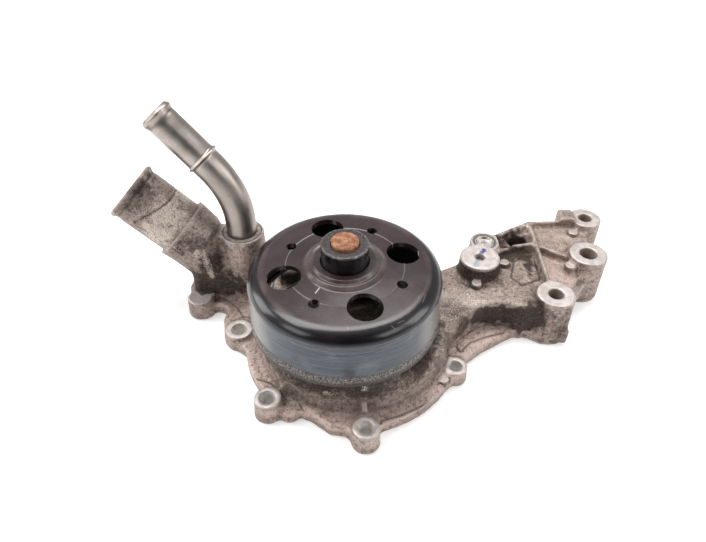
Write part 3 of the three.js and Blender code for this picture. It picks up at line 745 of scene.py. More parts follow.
def distance_to_polygon(x, y, corners):
    """Signed distance to a closed outline, positive inside."""
    best = np.full(len(x), 1e9)
    inside = np.zeros(len(x), bool)
    for (ax, ay), (bx, by) in zip(corners, corners[1:] + corners[:1]):
        step_x, step_y = bx - ax, by - ay
        share = np.clip(((x - ax) * step_x + (y - ay) * step_y) / (step_x**2 + step_y**2), 0, 1)
        best = np.minimum(best, np.hypot(x - ax - share * step_x, y - ay - share * step_y))
        crosses = (ay > y) != (by > y)
        level = ax + (y - ay) * step_x / (step_y if step_y else 1e-9)
        inside ^= crosses & (x < level)
    return np.where(inside, best, -best)


def neck_point(turn, along):
    """A point on the inlet neck, from an angle round it and a distance along it."""
    across = np.cross(NECK_AXIS, (0, 0, 1.0))
    across /= np.linalg.norm(across)
    other = np.cross(NECK_AXIS, across)
    angle = math.radians(turn)
    return on_neck(along) + NECK_R * (math.cos(angle) * across + math.sin(angle) * other)


NECK_CRACK = [
    neck_point(turn, along)
    for turn, along in (
        (-22, 19.6), (-40, 18.5), (-64, 17.6), (-85, 17.0), (-101, 17.0),
        (-116, 17.6), (-130, 19.0), (-146, 20.6), (-163, 23.2), (-190, 25.5),
    )
]
# Raised areas: outline, height of the face they stand on, own height (below 0 if sunken).
RAISED = [
    (
        [(111.9, 41.5), (116.8, 57.5), (126.5, 65), (131.6, 61), (131.0, 40.1), (118, 33.9)],
        29.0, 0.55,
    ),
    (
        [(74, -8), (81.2, 0.2), (91.8, 5.0), (102.3, 8.6), (116, 11.2), (118, 30), (60, 20)],
        9.0, 0.6,
    ),
    (
        [(-86.3, 38), (-80.2, 35), (-73.7, 28.5), (-69, 21), (-52, 18), (-52, 60), (-84, 60)],
        9.0, 0.6,
    ),
    (
        [(-62, -28), (-45, -34), (-36, -42), (-27, -47), (-20, -60), (-40, -62), (-70, -40)],
        9.0, -0.5,
    ),
    (
        [(20, -80), (22, -60), (34, -56), (52, -46), (64, -34), (80, -40), (60, -80)],
        9.0, -0.4,
    ),
]
# Sunken lines: corners, width, depth.
GROOVES = [
    (NECK_CRACK, 0.75, 1.0),
    ([(66.5, -5.5, 10.0), (76, 4, 10), (84, 10.5, 10)], 0.7, 0.3),
]
# Paint maps of the housing's surface, kept with its vertices.
MAPS = ("dirt_and_shade", "edge", "dark", "pale", "warm", "bare", "hole", "line")
# Spots of the maps: centre, reach along each axis, strength.
DARK = [
    ((-131, 48, 95), (13, 10, 6), 0.7), ((-118, 60, 98), (12, 10, 7), 0.55),
    ((-134, 46, 90), (20, 20, 13), 0.5), ((-98, 40, 24), (13, 12, 13), 0.85),
    ((-84, 39, 22), (16, 10, 12), 0.9), ((-90, 38, 40), (9, 8, 12), 0.85),
    ((-76, 40, 20), (12, 6, 8), 0.8), ((-100, 37, 58), (14, 11, 9), 0.55),
    ((-86, 42, 46), (8, 8, 9), 0.45), ((98, 14, 20), (26, 8, 9), 1.0),
    ((74, 2, 22), (14, 10, 10), 0.75), ((117, 14, 18), (10, 10, 12), 1.0),
    ((124, 15, 22), (9, 9, 14), 0.85), ((64, -12, 20), (12, 12, 10), 0.45),
    ((113, 84, 22), (11, 9, 12), 1.0), ((124, 86, 20), (12, 9, 12), 1.0),
    ((116, 65, 22), (14, 6, 12), 1.0), ((128, 70, 22), (8, 10, 10), 1.0),
    ((110, 74, 30), (7, 5, 6), 0.9), ((132, 50, 26), (3.5, 18, 5), 0.85),
    ((86, 36, 30.5), (12, 6, 4), 0.55), ((100, 37, 31), (8, 6, 5), 0.5),
    ((80, 42, 32), (5, 8, 5), 0.5), ((72, 34, 30), (12, 12, 5), 0.3),
    ((-40, -30, 20), (12, 14, 8), 0.35), ((168, 62, 10), (16, 16, 8), 0.3),
    ((143, 10, 12), (9, 9, 14), 0.5), ((138, 9, 24), (12, 6, 12), 0.38),
    # The first spot on the next line is painted shadow under the pulley, over the dome's top.
    ((0, 0, 38), (47, 47, 20), 1.6), ((120, 12, 18), (16, 8, 12), 0.8),
    ((54, -22, 19), (12, 18, 9), 0.45), ((105, 84, 24), (12, 12, 14), 1.0),
    ((118, 92, 24), (12, 10, 14), 1.0), ((112, 62, 24), (16, 7, 8), 1.0),
    ((126, 62, 24), (5, 20, 9), 1.0), ((103, 48, 31), (5, 7, 4), 0.55),
    ((117, 68, 28), (17, 7, 7), 1.0), ((70, 12, 30), (13, 12, 4), 0.45),
    ((67, 10, 29), (5, 12, 3), 0.5), ((60, -1, 29), (4, 8, 3), 0.45),
    # The second spot on the next line is painted shadow on the post behind the pulley.
    ((92, 33, 31), (9, 3, 3), 0.55), ((-39, 58, 15), (12, 10, 7), 1.6),
]
PALE = [
    ((-113, 45, 76), (13, 14, 12), 0.9), ((-120, 38, 66), (11, 9, 11), 1.0),
    ((-106, 58, 80), (8, 10, 7), 0.75), ((-127, 40, 78), (8, 6, 7), 0.45),
    ((-92, 38, 44), (2.0, 5, 10), 0.9), ((-90, 38, 33), (1.8, 5, 7), 0.85),
    ((-96, 35, 52), (3.0, 3, 4), 0.9), ((-52, 53, 9), (7, 5, 2), 0.9),
    ((74, 22, 29), (14, 9, 4), 0.45), ((84, 17, 29), (13, 4, 3), 0.7),
    ((66, 6, 29), (9, 9, 4), 0.35), ((158, 90, 31), (17, 11, 4), 0.3),
    ((148, 55, 25), (14, 14, 4), 0.3), ((12, -50, 26), (2.5, 2.5, 2), 0.7),
    ((-8, -52, 23), (5, 3, 1.5), 0.6),
]
WARM = [
    ((-70, 25, 9), (24, 22, 7), 0.9), ((-50, -25, 9), (22, 30, 7), 0.75),
    ((-15, -62, 9), (36, 12, 5), 1.0), ((30, -62, 9), (30, 14, 5), 0.8),
    ((95, 6, 9), (30, 12, 5), 0.85), ((60, -28, 9), (18, 20, 5), 0.8),
    ((155, 75, 30), (30, 36, 9), 0.42), ((150, 50, 24), (20, 24, 6), 0.9),
    ((78, -2, 9), (30, 14, 5), 0.6), ((-60, 40, 50), (20, 20, 12), 0.5),
]


def paint(points_mm, spots, wobble):
    """How strongly each point lies in a list of soft-edged spots."""
    value = np.zeros(len(points_mm))
    for centre, reach, strength in spots:
        offset = (points_mm - np.array(centre, float)) / np.array(reach, float)
        gap = np.linalg.norm(offset, axis=1) + 0.35 * wobble
        value = np.maximum(value, strength * np.clip((1.25 - gap) / 0.6, 0, 1))
    return value


def unit(value):
    """A value held between 0 and 1."""
    return np.clip(value, 0, 1)


def bell(gap, width):
    """1 where there is no gap, fading to nothing over about twice the width."""
    return np.exp(-((gap / width) ** 2))


def shape_housing(points_mm):
    """Moves the surface by small cast shapes and returns it with its paint maps."""
    x, y, z = points_mm.T
    axis_gap = np.hypot(x, y)
    normals = surface_normals(points_mm)
    up = unit(normals[:, 2])
    wide, middle, fine = (
        Lattice(seed, size)(points_mm) for seed, size in ((3, 11.0), (5, 3.4), (8, 1.7))
    )
    bare, hole, line = (np.zeros(len(points_mm)) for _ in range(3))
    lines = []
    # Machined faces and bores.
    for centre_x, centre_y, radius, top, hole_radius in BOSSES + ROUND_TOPS:
        gap = np.hypot(x - centre_x, y - centre_y)
        bare[(np.abs(z - top) < 0.45) & (gap < radius + 0.35) & (up > 0.6)] = 1
        hole[(gap < hole_radius + 0.6) & (up < 0.5) & (z < top + 0.5)] = 1.0 if top < 20 else 0.6
    for centre_x, centre_y, radius, top in PADS:
        gap = np.hypot(x - centre_x, y - centre_y)
        bare[(np.abs(z - top) < 0.7) & (gap < radius) & (up > 0.6)] = 0.4
        near_top = unit((z - top + 4.5) / 0.5) * (z < top - 0.3)
        lines.append(0.9 * (bell(gap - radius - 0.7, 0.8) * (up < 0.85) * near_top))
    bare[(z < 0.3) & (normals[:, 2] < -0.6)] = 1
    cast = 1 - bare
    cast[hole > 0.5] = 0
    cast *= unit(axis_gap / 3 - 8)
    socket_gap = np.hypot(x - SOCKET[0], y - SOCKET[1])
    bare[(socket_gap < 14.2) & (z > SOCKET_TOP - 0.9) & (up > 0.5)] = 0.55
    # Darker places: the spots, the idler boss's side, and a painted shadow on the skirt under the
    # pulley.
    idler_gap = np.hypot(x - IDLER[0], y - IDLER[1])
    idler_side = (idler_gap < 16.5) * unit((IDLER_TOP - 1.2 - z) / 1.5) * (z > 26) * (up < 0.7)
    dark = np.maximum(paint(points_mm, DARK, middle), 0.85 * idler_side)
    skirt_shadow = unit((z - 13) / 10) * unit((64 - axis_gap) / 5)
    dark = np.maximum(dark, skirt_shadow * (0.72 + 0.25 * wide))
    pale = paint(points_mm, PALE, middle)
    warm = paint(points_mm, WARM, wide)
    # Dark lines: the foot of the dome, the plug's edge, the raised outlines and the grooves.
    foot_gap = axis_gap - volute_radius(np.degrees(np.arctan2(y, x))) - 1.2
    foot_line = bell(foot_gap, 1.1) * unit((13.5 - z) / 2) * (up > 0.2)
    lines.append(0.6 * (foot_line * (unit(0.75 + 0.5 * middle) * (y < 8))))
    plug_gap = np.hypot(x - PLUG[0], y - PLUG[1])
    lines.append(0.85 * (bell(plug_gap - 8.1, 0.55) * (np.abs(z - BRACKET_TOP) < 0.8)))
    moved = points_mm.copy()
    for outline, base, height in RAISED:
        edge = distance_to_polygon(x, y, outline)
        on_face = np.clip(1.6 - np.abs(z - base), 0, 1) * (up > 0.75)
        rise = unit(edge / 0.9 + 0.5)
        moved[:, 2] += height * rise * rise * (3 - 2 * rise) * on_face
        lines.append(on_face * bell(edge, 0.65) * 0.95)
    for corners, width, depth in GROOVES:
        gap = distance_to_line(points_mm, corners) + 0.3 * np.abs(fine)
        moved -= normals * (bell(gap, width) * depth)[:, None]
        lines.append(bell(gap, width * 0.9))
    # The neck's end bead, with a groove below it.
    along = (points_mm - NECK_ROOT) @ NECK_AXIS
    radial = np.linalg.norm(points_mm - NECK_ROOT - along[:, None] * NECK_AXIS, axis=1)
    on_skin = np.clip(2 - np.abs(radial - NECK_R), 0, 1) * (along > 20)
    bead = 0.85 * bell(along - NECK_LENGTH + 1.9, 1.5)
    bead -= 0.45 * bell(along - NECK_LENGTH + 5.6, 1.3)
    moved += normals * (bead * on_skin)[:, None]
    lines.append(on_skin * 0.75 * bell(along - NECK_LENGTH + 4.8, 0.9))
    # The cast skin's own roughness, and crusts where it is corroded.
    rough = 0.10 * wide + 0.07 * middle + 0.05 * fine
    crust = unit(pale - 0.35) * unit(fine * 1.5 + 0.2) * 0.5
    moved += normals * ((rough + crust) * cast)[:, None]
    dent = np.clip(sample(near_share, points_mm) - 0.5, -0.5, 0.5)
    hollow = np.clip(sample(wide_share, points_mm) - 0.5, -0.5, 0.5)
    # Grime with painted shade in hollows and corners, and convex edges for rubbing and a painted
    # highlight.
    dirt_and_shade = unit(dent * 3.8 + hollow * 0.6)
    edge = unit(-dent * 3.6 - 0.12)
    for strength in lines:
        line = np.maximum(line, strength)
    return moved, dict(zip(MAPS, (dirt_and_shade, edge, dark, pale, warm, bare, hole, line)))


def housing_material():
    look = Look("cast_aluminium_skin")
    x, y, z = look.xyz()
    broad = look.noise(26, 5, 0.6)
    middle = look.noise(6, 6, 0.65, offset=(3, 1, 2))
    fine = look.noise(1.1, 5, 0.7)
    speck = look.noise(0.75, 3, 0.8, offset=(5, 5, 1))
    splotch = look.noise(2.4, 9, 0.82, offset=(7, 2, 9))
    dirt_and_shade, edge, dark, pale, warm, bare, hole, line = (look.attribute(name) for name in MAPS)
    # Grime with painted shade in corners, broken up by noise.
    grime_and_shade = look.math("MULTIPLY", dirt_and_shade, middle.ramp(0.3, 0.62, 1.1, 0.35), clamp=True)
    ragged = (middle - 0.5) + (splotch - 0.5)
    patch = (dark + ragged * 1.2).ramp(0.15, 0.85) * dark.ramp(0.05, 0.3)
    patch_colour = look.mix(fine.ramp(0.42, 0.64), (0.009, 0.006, 0.005), (0.078, 0.045, 0.032))
    broken = (speck - 0.5) + (splotch - 0.5)
    crust = (pale + broken * 3.6).ramp(0.45, 0.85) * pale.ramp(0.05, 0.35)
    eaten = splotch.ramp(0.52, 0.575) * pale.ramp(0.2, 0.6)
    rust = look.noise(1.5, 4, 0.8, offset=(2, 6, 4)).ramp(0.60, 0.68) * pale.ramp(0.3, 0.7)
    # Rubbed edges, also brightened as a painted highlight on convex edges.
    worn_edge_highlight = edge * middle.ramp(0.35, 0.6, 0.25, 1.0) * dark.ramp(0.95, 0.45, 0.15, 1.0)
    base = look.layers(
        look.mix(broad.ramp(0.35, 0.65), (0.215, 0.165, 0.138), (0.335, 0.285, 0.25)),
        (middle.ramp(0.44, 0.64, 0, 0.7), (0.42, 0.37, 0.335)),
        (warm * middle.ramp(0.2, 0.6, 0.5, 0.9), (0.56, 0.445, 0.395)),
        (splotch.ramp(0.52, 0.59, 0, 0.8), (0.070, 0.046, 0.036)),
        (fine.ramp(0.54, 0.63, 0, 0.6), (0.045, 0.031, 0.025)),
        (splotch.ramp(0.44, 0.37, 0, 0.7), (0.57, 0.51, 0.465)),
        (speck.ramp(0.58, 0.66, 0, 0.62), (0.70, 0.63, 0.58)),
        # Grime and painted shade in corners, then the dark spots.
        (grime_and_shade, (0.028, 0.020, 0.017)),
        (patch * 0.94, patch_colour),
        # Near-black painted shadow under the pulley and on the post behind it.
        (dark.ramp(1.0, 1.4), (0.004, 0.0035, 0.0035)),
        (speck.ramp(0.60, 0.70) * (patch * 0.35), (0.33, 0.28, 0.25)),
        # White corrosion, broken up by specks, with eaten and rusty spots in it.
        (crust * 0.88, (0.68, 0.61, 0.555)),
        (eaten * 0.8, (0.075, 0.046, 0.035)),
        (rust * 0.6, (0.30, 0.15, 0.075)),
        # Rubbed edges, brightened as a painted highlight too.
        (worn_edge_highlight * 0.75, (0.56, 0.50, 0.46)),
    )
    base = look.mix(1.0, base, (1.0, 0.955, 0.94), kind="MULTIPLY")
    machined = look.mix(middle.ramp(0.35, 0.7), (0.60, 0.545, 0.52), (0.43, 0.375, 0.35))
    machined = look.mix(speck.ramp(0.54, 0.70, 0, 0.6), machined, (0.16, 0.12, 0.10))
    # Bores are painted pale, with metallic off, as painted light bounced into the machined holes.
    bore = look.mix(middle.ramp(0.3, 0.65), (0.46, 0.43, 0.40), (0.82, 0.80, 0.75))
    bore = look.mix(hole.ramp(0.85, 0.6), bore, (0.30, 0.235, 0.20))
    blue_dash, pale_dash = marking(look, x, y, z)
    base = look.layers(
        base,
        (bare, machined),
        (hole.ramp(0.1, 0.4, 0, 0.9), bore),
        (line * 0.95, (0.026, 0.019, 0.016)),
        (blue_dash, (0.022, 0.032, 0.18)),
        (pale_dash, (0.14, 0.36, 0.46)),
    )
    rough = look.lerp(bare, middle.ramp(0.3, 0.7, 0.46, 0.62) + patch * 0.25, 0.5)
    metal = look.lerp(bare, look.lerp(crust, 0.62, 0.1), 0.6)
    metal = look.lerp(hole.ramp(0.1, 0.4), look.lerp(patch, metal, 0.0), 0.0)
    grain = look.bump(fine + speck * 0.6, look.lerp(bare, 0.55, 0.08), 0.28)
    bumped = look.bump(middle, look.lerp(bare, 0.35, 0.02), 0.7, Normal=grain)
    return look.finish(
        Base_Color=base, Roughness=rough, Metallic=metal, Normal=bumped, Specular_IOR_Level=0.32
    )


def marking(look, x, y, z):
    """Two smears of marking paint on the face of the idler boss, a blue dash and a pale one."""
    smears = []
    on_top = look.math("GREATER_THAN", z, IDLER_TOP - 0.25)
    ragged = (look.noise(1.3, 5, 0.75) - 0.5) * 6.5
    for centre, long_half, short_half, turn in (
        ((92.9, 54.5), 3.6, 1.5, 58.0),
        ((86.4, 43.0), 3.0, 0.6, 62.0),
    ):
        along, across = look.stroke(x, y, centre, math.radians(turn))
        out = look.math("MAXIMUM", along - long_half, across - short_half) + ragged
        smears.append(out.ramp(0.6, -0.6, 0, 0.9) * on_top)
    return smears


def face_outwards(quads_in, points_mm):
    """Faces turned so that they look outwards."""
    corners = points_mm[quads_in]
    volume = np.einsum("ij,ij->", corners[:, 0], np.cross(corners[:, 1], corners[:, 2]))
    return quads_in[:, ::-1] if volume < 0 else quads_in


shaped, housing_maps = shape_housing(housing_points.astype(float))
shaped = np.clip(shaped, BOX_LOW, BOX_HIGH)
housing = new_object(
    "housing_casting", shaped, face_outwards(housing_quads, shaped), "housing",
    housing_material(), sharp=180,
)
for map_name, values in housing_maps.items():
    add_map(housing, map_name, values)
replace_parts(housing, "pump_housing")


# ---------- pulley, hub and shaft ----------
PULLEY_FACE = 75.0
PULLEY_R = 57.0
RIM = 35.5
HUB_R = 13.8
HUB_TOP = 90.9
SHAFT_R = 8.0
SHAFT_TOP = 93.45
# Radius of the bores that clear the shaft.
SLIP_R = 8.3
HOLE_PITCH = 36.0
HOLE_TURN = math.radians(18.5)
# Scratches through the pulley's paint: both ends, and half the width.
SCRATCHES = [
    (-15.9, -25.0, -13.4, -20.2, 0.42), (24.5, -45.4, 27.5, -47.2, 0.22),
    (28.2, -44.0, 32.4, -41.2, 0.16), (40.0, -27.0, 41.5, -23.0, 0.18),
    (42.5, -29.0, 45.0, -22.0, 0.16), (1.5, -48.5, 3.2, -49.0, 0.5),
]


def pulley_material():
    look = Look("pulley_paint_worn")
    across, z = look.radius()
    x, y, _ = look.xyz()
    cloudy = look.noise(16, 4, 0.6)
    fine = look.noise(1.0, 5, 0.75)
    rings = look.noise(9, 5, 0.7, stretch=(4, 4, 0.06))
    side = look.math("GREATER_THAN", across, 54.5)
    # Black paint on the face and shoulder; the shoulder is painted darker than the face as painted
    # shade.
    lit_face_share = across.ramp(51.0, 49.4)
    # A ring inside the shoulder, painted lighter as rubbed paint and painted highlight.
    rub_and_highlight = across.ramp(46.0, 48.4) * across.ramp(50.8, 49.4) * cloudy.ramp(0.3, 0.7, 0.15, 0.75)
    # A ring round the hub's collar, painted lighter as a painted highlight.
    collar = across.ramp(17.6, 18.8) * across.ramp(25.5, 22.5) * cloudy.ramp(0.3, 0.62, 0.3, 1.0)
    pitch_ring = across.ramp(33.9, 34.15) * across.ramp(34.75, 34.5)
    paint_colour = look.layers(
        look.mix(cloudy.ramp(0.35, 0.7), (0.004, 0.003, 0.005), (0.012, 0.008, 0.010)),
        (lit_face_share, look.mix(cloudy, (0.020, 0.010, 0.0115), (0.044, 0.026, 0.028))),
        (fine.ramp(0.62, 0.8, 0, 0.25), (0.10, 0.08, 0.08)),
        (rub_and_highlight * 0.55, (0.105, 0.072, 0.07)),
        (collar * 0.55, (0.14, 0.105, 0.10)),
        (pitch_ring * 0.7, (0.17, 0.15, 0.15)),
    )
    # The belt band, worn to metal, with rings and smears.
    wavy = (look.noise(14, 4, 0.6, stretch=(2.5, 2.5, 0.5)) - 0.5) * 2.2
    level = z + wavy
    band = level.ramp(68.6, 67.2) * level.ramp(42.6, 44.6) * side
    drift = x + (fine - 0.5) * 9.0
    smudge = drift.ramp(9.5, 4.5) * drift.ramp(-2.5, 2.5) * (z.ramp(58, 48) * y.ramp(0, -20))
    worn_rings = look.noise(12, 6, 0.8, stretch=(1.5, 1.5, 0.04), offset=(1, 4, 2))
    dark_rings = worn_rings.ramp(0.53, 0.60) * z.ramp(54, 64)
    pale_rings = worn_rings.ramp(0.45, 0.40) * z.ramp(50, 60)
    dusty = look.math("ABSOLUTE", x).ramp(38, 54) * y.ramp(22, -6, 0.3, 1.0)
    band_colour = look.layers(
        look.mix(rings.ramp(0.35, 0.68), (0.045, 0.051, 0.062), (0.105, 0.115, 0.131)),
        (cloudy.ramp(0.52, 0.75, 0, 0.35), (0.22, 0.225, 0.225)),
        (smudge * fine.ramp(0.3, 0.6, 0.3, 0.75), (0.022, 0.02, 0.026)),
        (dark_rings * 0.8, (0.014, 0.015, 0.019)),
        (pale_rings * 0.3, (0.24, 0.245, 0.25)),
        (dusty * fine.ramp(0.3, 0.62, 0.35, 0.9), (0.36, 0.33, 0.30)),
    )
    # The rough lip below the band.
    lip = level.ramp(45.0, 42.4) * side
    lip_colour = look.mix(fine.ramp(0.44, 0.60), (0.045, 0.035, 0.030), (0.27, 0.25, 0.23))
    lip_foot = (z + wavy * 1.6).ramp(41.0, 38.4)
    lip_colour = look.mix(lip_foot * 0.8, lip_colour, (0.035, 0.025, 0.021))
    scratch = 0.0
    for ax, ay, bx, by, width in SCRATCHES:
        length = math.hypot(bx - ax, by - ay)
        centre = ((ax + bx) / 2, (ay + by) / 2)
        along, off = look.stroke(x, y, centre, math.atan2(by - ay, bx - ax))
        mark = along.ramp(length / 2, length / 2 - 0.8) * off.ramp(width, width * 0.4)
        scratch = look.math("MAXIMUM", mark, scratch)
    scratch = scratch * z.ramp(69, 70) * across.ramp(48, 40, 0.28, 1.0)
    colour = look.layers(
        paint_colour, (band, band_colour), (lip, lip_colour), (scratch, (0.50, 0.46, 0.44))
    )
    metal = look.math("MAXIMUM", band * 0.8, lip * 0.5)
    rough = look.lerp(lit_face_share, 0.2, cloudy.ramp(0.3, 0.7, 0.2, 0.31))
    rough = look.lerp(band, rough, rings.ramp(0.3, 0.7, 0.30, 0.46))
    rough = look.lerp(lip, rough, 0.6)
    height = fine * look.lerp(lip, 0.25, 1.6) + rings * 0.5
    return look.finish(
        Base_Color=colour, Roughness=rough, Metallic=metal, Normal=look.bump(height, 0.35, 0.12),
        Coat_Weight=0.12, Coat_Roughness=0.15,
    )


def hub_material():
    look = Look("hub_paint")
    across, z = look.radius()
    fine = look.noise(1.4, 5, 0.7)
    middle = look.noise(7, 4, 0.6)
    # A painted highlight round the rim of the hub's top.
    rim = across.ramp(12.4, 13.1) * z.ramp(89.6, 90.3)
    # The top is painted lighter than the near-black neck, as painted light from above.
    lit_top_colour = look.mix(fine.ramp(0.4, 0.7), (0.030, 0.023, 0.023), (0.085, 0.066, 0.062))
    colour = look.layers(
        look.mix(middle.ramp(0.35, 0.7), (0.0012, 0.001, 0.0014), (0.004, 0.0032, 0.0036)),
        (z.ramp(90.2, 90.8), lit_top_colour),
        (rim * fine.ramp(0.4, 0.7, 0.0, 0.55), (0.30, 0.26, 0.25)),
    )
    return look.finish(
        Base_Color=colour, Roughness=middle.ramp(0.3, 0.7, 0.22, 0.36), Metallic=0.0,
        Normal=look.bump(fine, 0.3, 0.12),
    )


def shaft_material():
    look = Look("shaft_steel_rusty")
    _, z = look.radius()
    middle = look.noise(3.2, 6, 0.7)
    fine = look.noise(0.7, 5, 0.75)
    rust = look.mix(middle.ramp(0.36, 0.66), (0.19, 0.068, 0.036), (0.42, 0.21, 0.105))
    rust = look.mix(fine.ramp(0.52, 0.75, 0, 0.7), rust, (0.085, 0.035, 0.018))
    steel = look.mix(middle.ramp(0.3, 0.7), (0.48, 0.47, 0.45), (0.60, 0.59, 0.57))
    rusty = z.ramp(86, 91)
    return look.finish(
        Base_Color=look.mix(rusty, steel, rust), Roughness=look.lerp(rusty, 0.25, 0.55),
        Metallic=look.lerp(rusty, 1.0, 0.35), Normal=look.bump(fine, 0.4, 0.14),
    )


def soften(item, width, angle):
    """Rounds the sharp edges of a piece."""
    step = item.modifiers.new("soften", "BEVEL")
    step.width = width * MM
    step.segments = 2
    step.limit_method = "ANGLE"
    step.angle_limit = math.radians(angle)
    step.harden_normals = False
    apply_modifiers(item)
    shade(item.data, 50)
    even = item.modifiers.new("even", "WEIGHTED_NORMAL")
    even.keep_sharp = True
    even.weight = 100
    apply_modifiers(item)


def make_pulley():
    face = PULLEY_FACE
    shoulder = [
        (47 + 10 * math.sin(turn), face - 0.75 - 8.6 * (1 - math.cos(turn)))
        for turn in map(math.radians, range(0, 91, 6))
    ]
    profile = rounded([
        (14.1, face - 2, 0.2), (14.1, face + 4.2, 0.5), (18.2, face + 4.1, 0.9),
        (19.4, face + 2.2, 0.6), (21.4, face + 2.9, 1.2), (24.2, face + 1.0, 2.0),
        (33.9, face + 0.15, 0.3), (34.4, face + 0.32, 0.15), (34.9, face + 0.05, 0.3), *shoulder,
        (PULLEY_R - 0.15, 61.5, 0.6), (PULLEY_R, RIM + 8.6, 1.0), (PULLEY_R + 0.75, RIM + 6.2, 1.0),
        (PULLEY_R + 0.75, RIM + 1.0, 0.6), (PULLEY_R, RIM + 0.05, 0.5), (54.8, RIM + 0.05, 0.5),
        (54.0, RIM + 4, 1.5), (54.0, face - 9.4, 2.0), (51.6, face - 6.6, 2.5),
        (46, face - 4.1, 2.0), (24, face - 2.2, 1.0),
    ])
    pulley = lathe(
        "pulley_shell", profile, "rotor", pulley_material(), 192, sharp=40
    )
    tools = []
    for index in range(4):
        for turn, radius, sides in ((HOLE_TURN, 9.9, 72), (HOLE_TURN + math.pi / 4, 3.15, 40)):
            angle = turn + index * math.pi / 2
            x, y = HOLE_PITCH * math.cos(angle), HOLE_PITCH * math.sin(angle)
            tools.append(plain_rod((x, y, face - 9), (x, y, face + 4), radius, sides))
    combine(pulley, tools, "DIFFERENCE")
    soften(pulley, 0.28, 40)
    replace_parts(pulley, "pulley")


def make_hub_and_shaft():
    seat = PULLEY_FACE - 2.3
    turned_piece("pulley_hub", "hub_turned", "rotor", "pulley_paint", hub_material(), [
        (SLIP_R, 66, 0.4), (13, 66, 0.8), (13, seat - 4.5, 0.6), (23, seat - 4, 0.6),
        (23.4, seat - 0.5, 0.5), (HUB_R, seat - 0.5, 0.3), (HUB_R, HUB_TOP, 1.1),
        (SLIP_R, HUB_TOP, 0.35),
    ])
    grooves = []
    for z in BALL_ROWS:
        grooves += [
            (SHAFT_R, z - 2.6), (7.3, z - 1.4), (7.05, z, 1.0), (7.3, z + 1.4), (SHAFT_R, z + 2.6)
        ]
    turned_piece("pump_shaft", "shaft_ground", "rotor", "bare_steel", shaft_material(), [
        (0, 0.02), (5.7, 0.02, 0.3), (6.4, 0.6, 0.3), (6.4, 27), (SHAFT_R, 28, 0.3), *grooves,
        (SHAFT_R, 92.6, 0.8), (6.9, SHAFT_TOP, 0.5), (0, SHAFT_TOP),
    ])


make_pulley()
make_hub_and_shaft()


# ---------- heater tube ----------
TUBE_R = 9.8
TUBE_BORE = 8.3
BEND_R = 55.0
BEND_Z = 66.5
BEND_ANGLE = math.radians(44.6)
HEADING = math.radians(166)
STRAIGHT = 43.8
TUBE_FOOT = 42.0


def tube_station(distance):
    """A point on the tube's centreline and its direction, by distance from its foot."""
    rise = BEND_Z - TUBE_FOOT
    if distance < rise:
        return Vector((*SOCKET, TUBE_FOOT + distance)), Vector((0, 0, 1))
    out = Vector((math.cos(HEADING), math.sin(HEADING), 0))
    angle = min((distance - rise) / BEND_R, BEND_ANGLE)
    centre = Vector((*SOCKET, BEND_Z)) + out * BEND_R
    place = centre - out * (BEND_R * math.cos(angle)) + Vector((0, 0, BEND_R * math.sin(angle)))
    direction = out * math.sin(angle) + Vector((0, 0, math.cos(angle)))
    beyond = distance - rise - BEND_R * BEND_ANGLE
    return place + direction * max(beyond, 0), direction


def tube_material():
    look = Look("tube_steel_satin")
    cloudy = look.noise(13, 5, 0.6)
    fine = look.noise(0.9, 4, 0.7)
    spread = {"Vector": look.place, "Scale": 1 / (9.0 * MM)}
    pits = look.add("ShaderNodeTexVoronoi", spread, "Distance").ramp(0.055, 0.02)
    soil_and_shade = look.attribute("soil_and_shade")
    _, _, z = look.xyz()
    colour = look.layers(
        look.mix(cloudy.ramp(0.35, 0.7), (0.33, 0.288, 0.26), (0.45, 0.405, 0.372)),
        (z.ramp(114, 98, 0, 0.42), (0.20, 0.17, 0.15)),
        # Soil, and painted shade inside the tube.
        (soil_and_shade, (0.10, 0.075, 0.06)),
        (pits, (0.05, 0.035, 0.03)),
    )
    rough = cloudy.ramp(0.3, 0.7, 0.32, 0.42) + soil_and_shade * 0.2
    bumped = look.bump(fine, 0.07, 0.08)
    return look.finish(Base_Color=colour, Roughness=rough, Metallic=1.0, Normal=bumped)


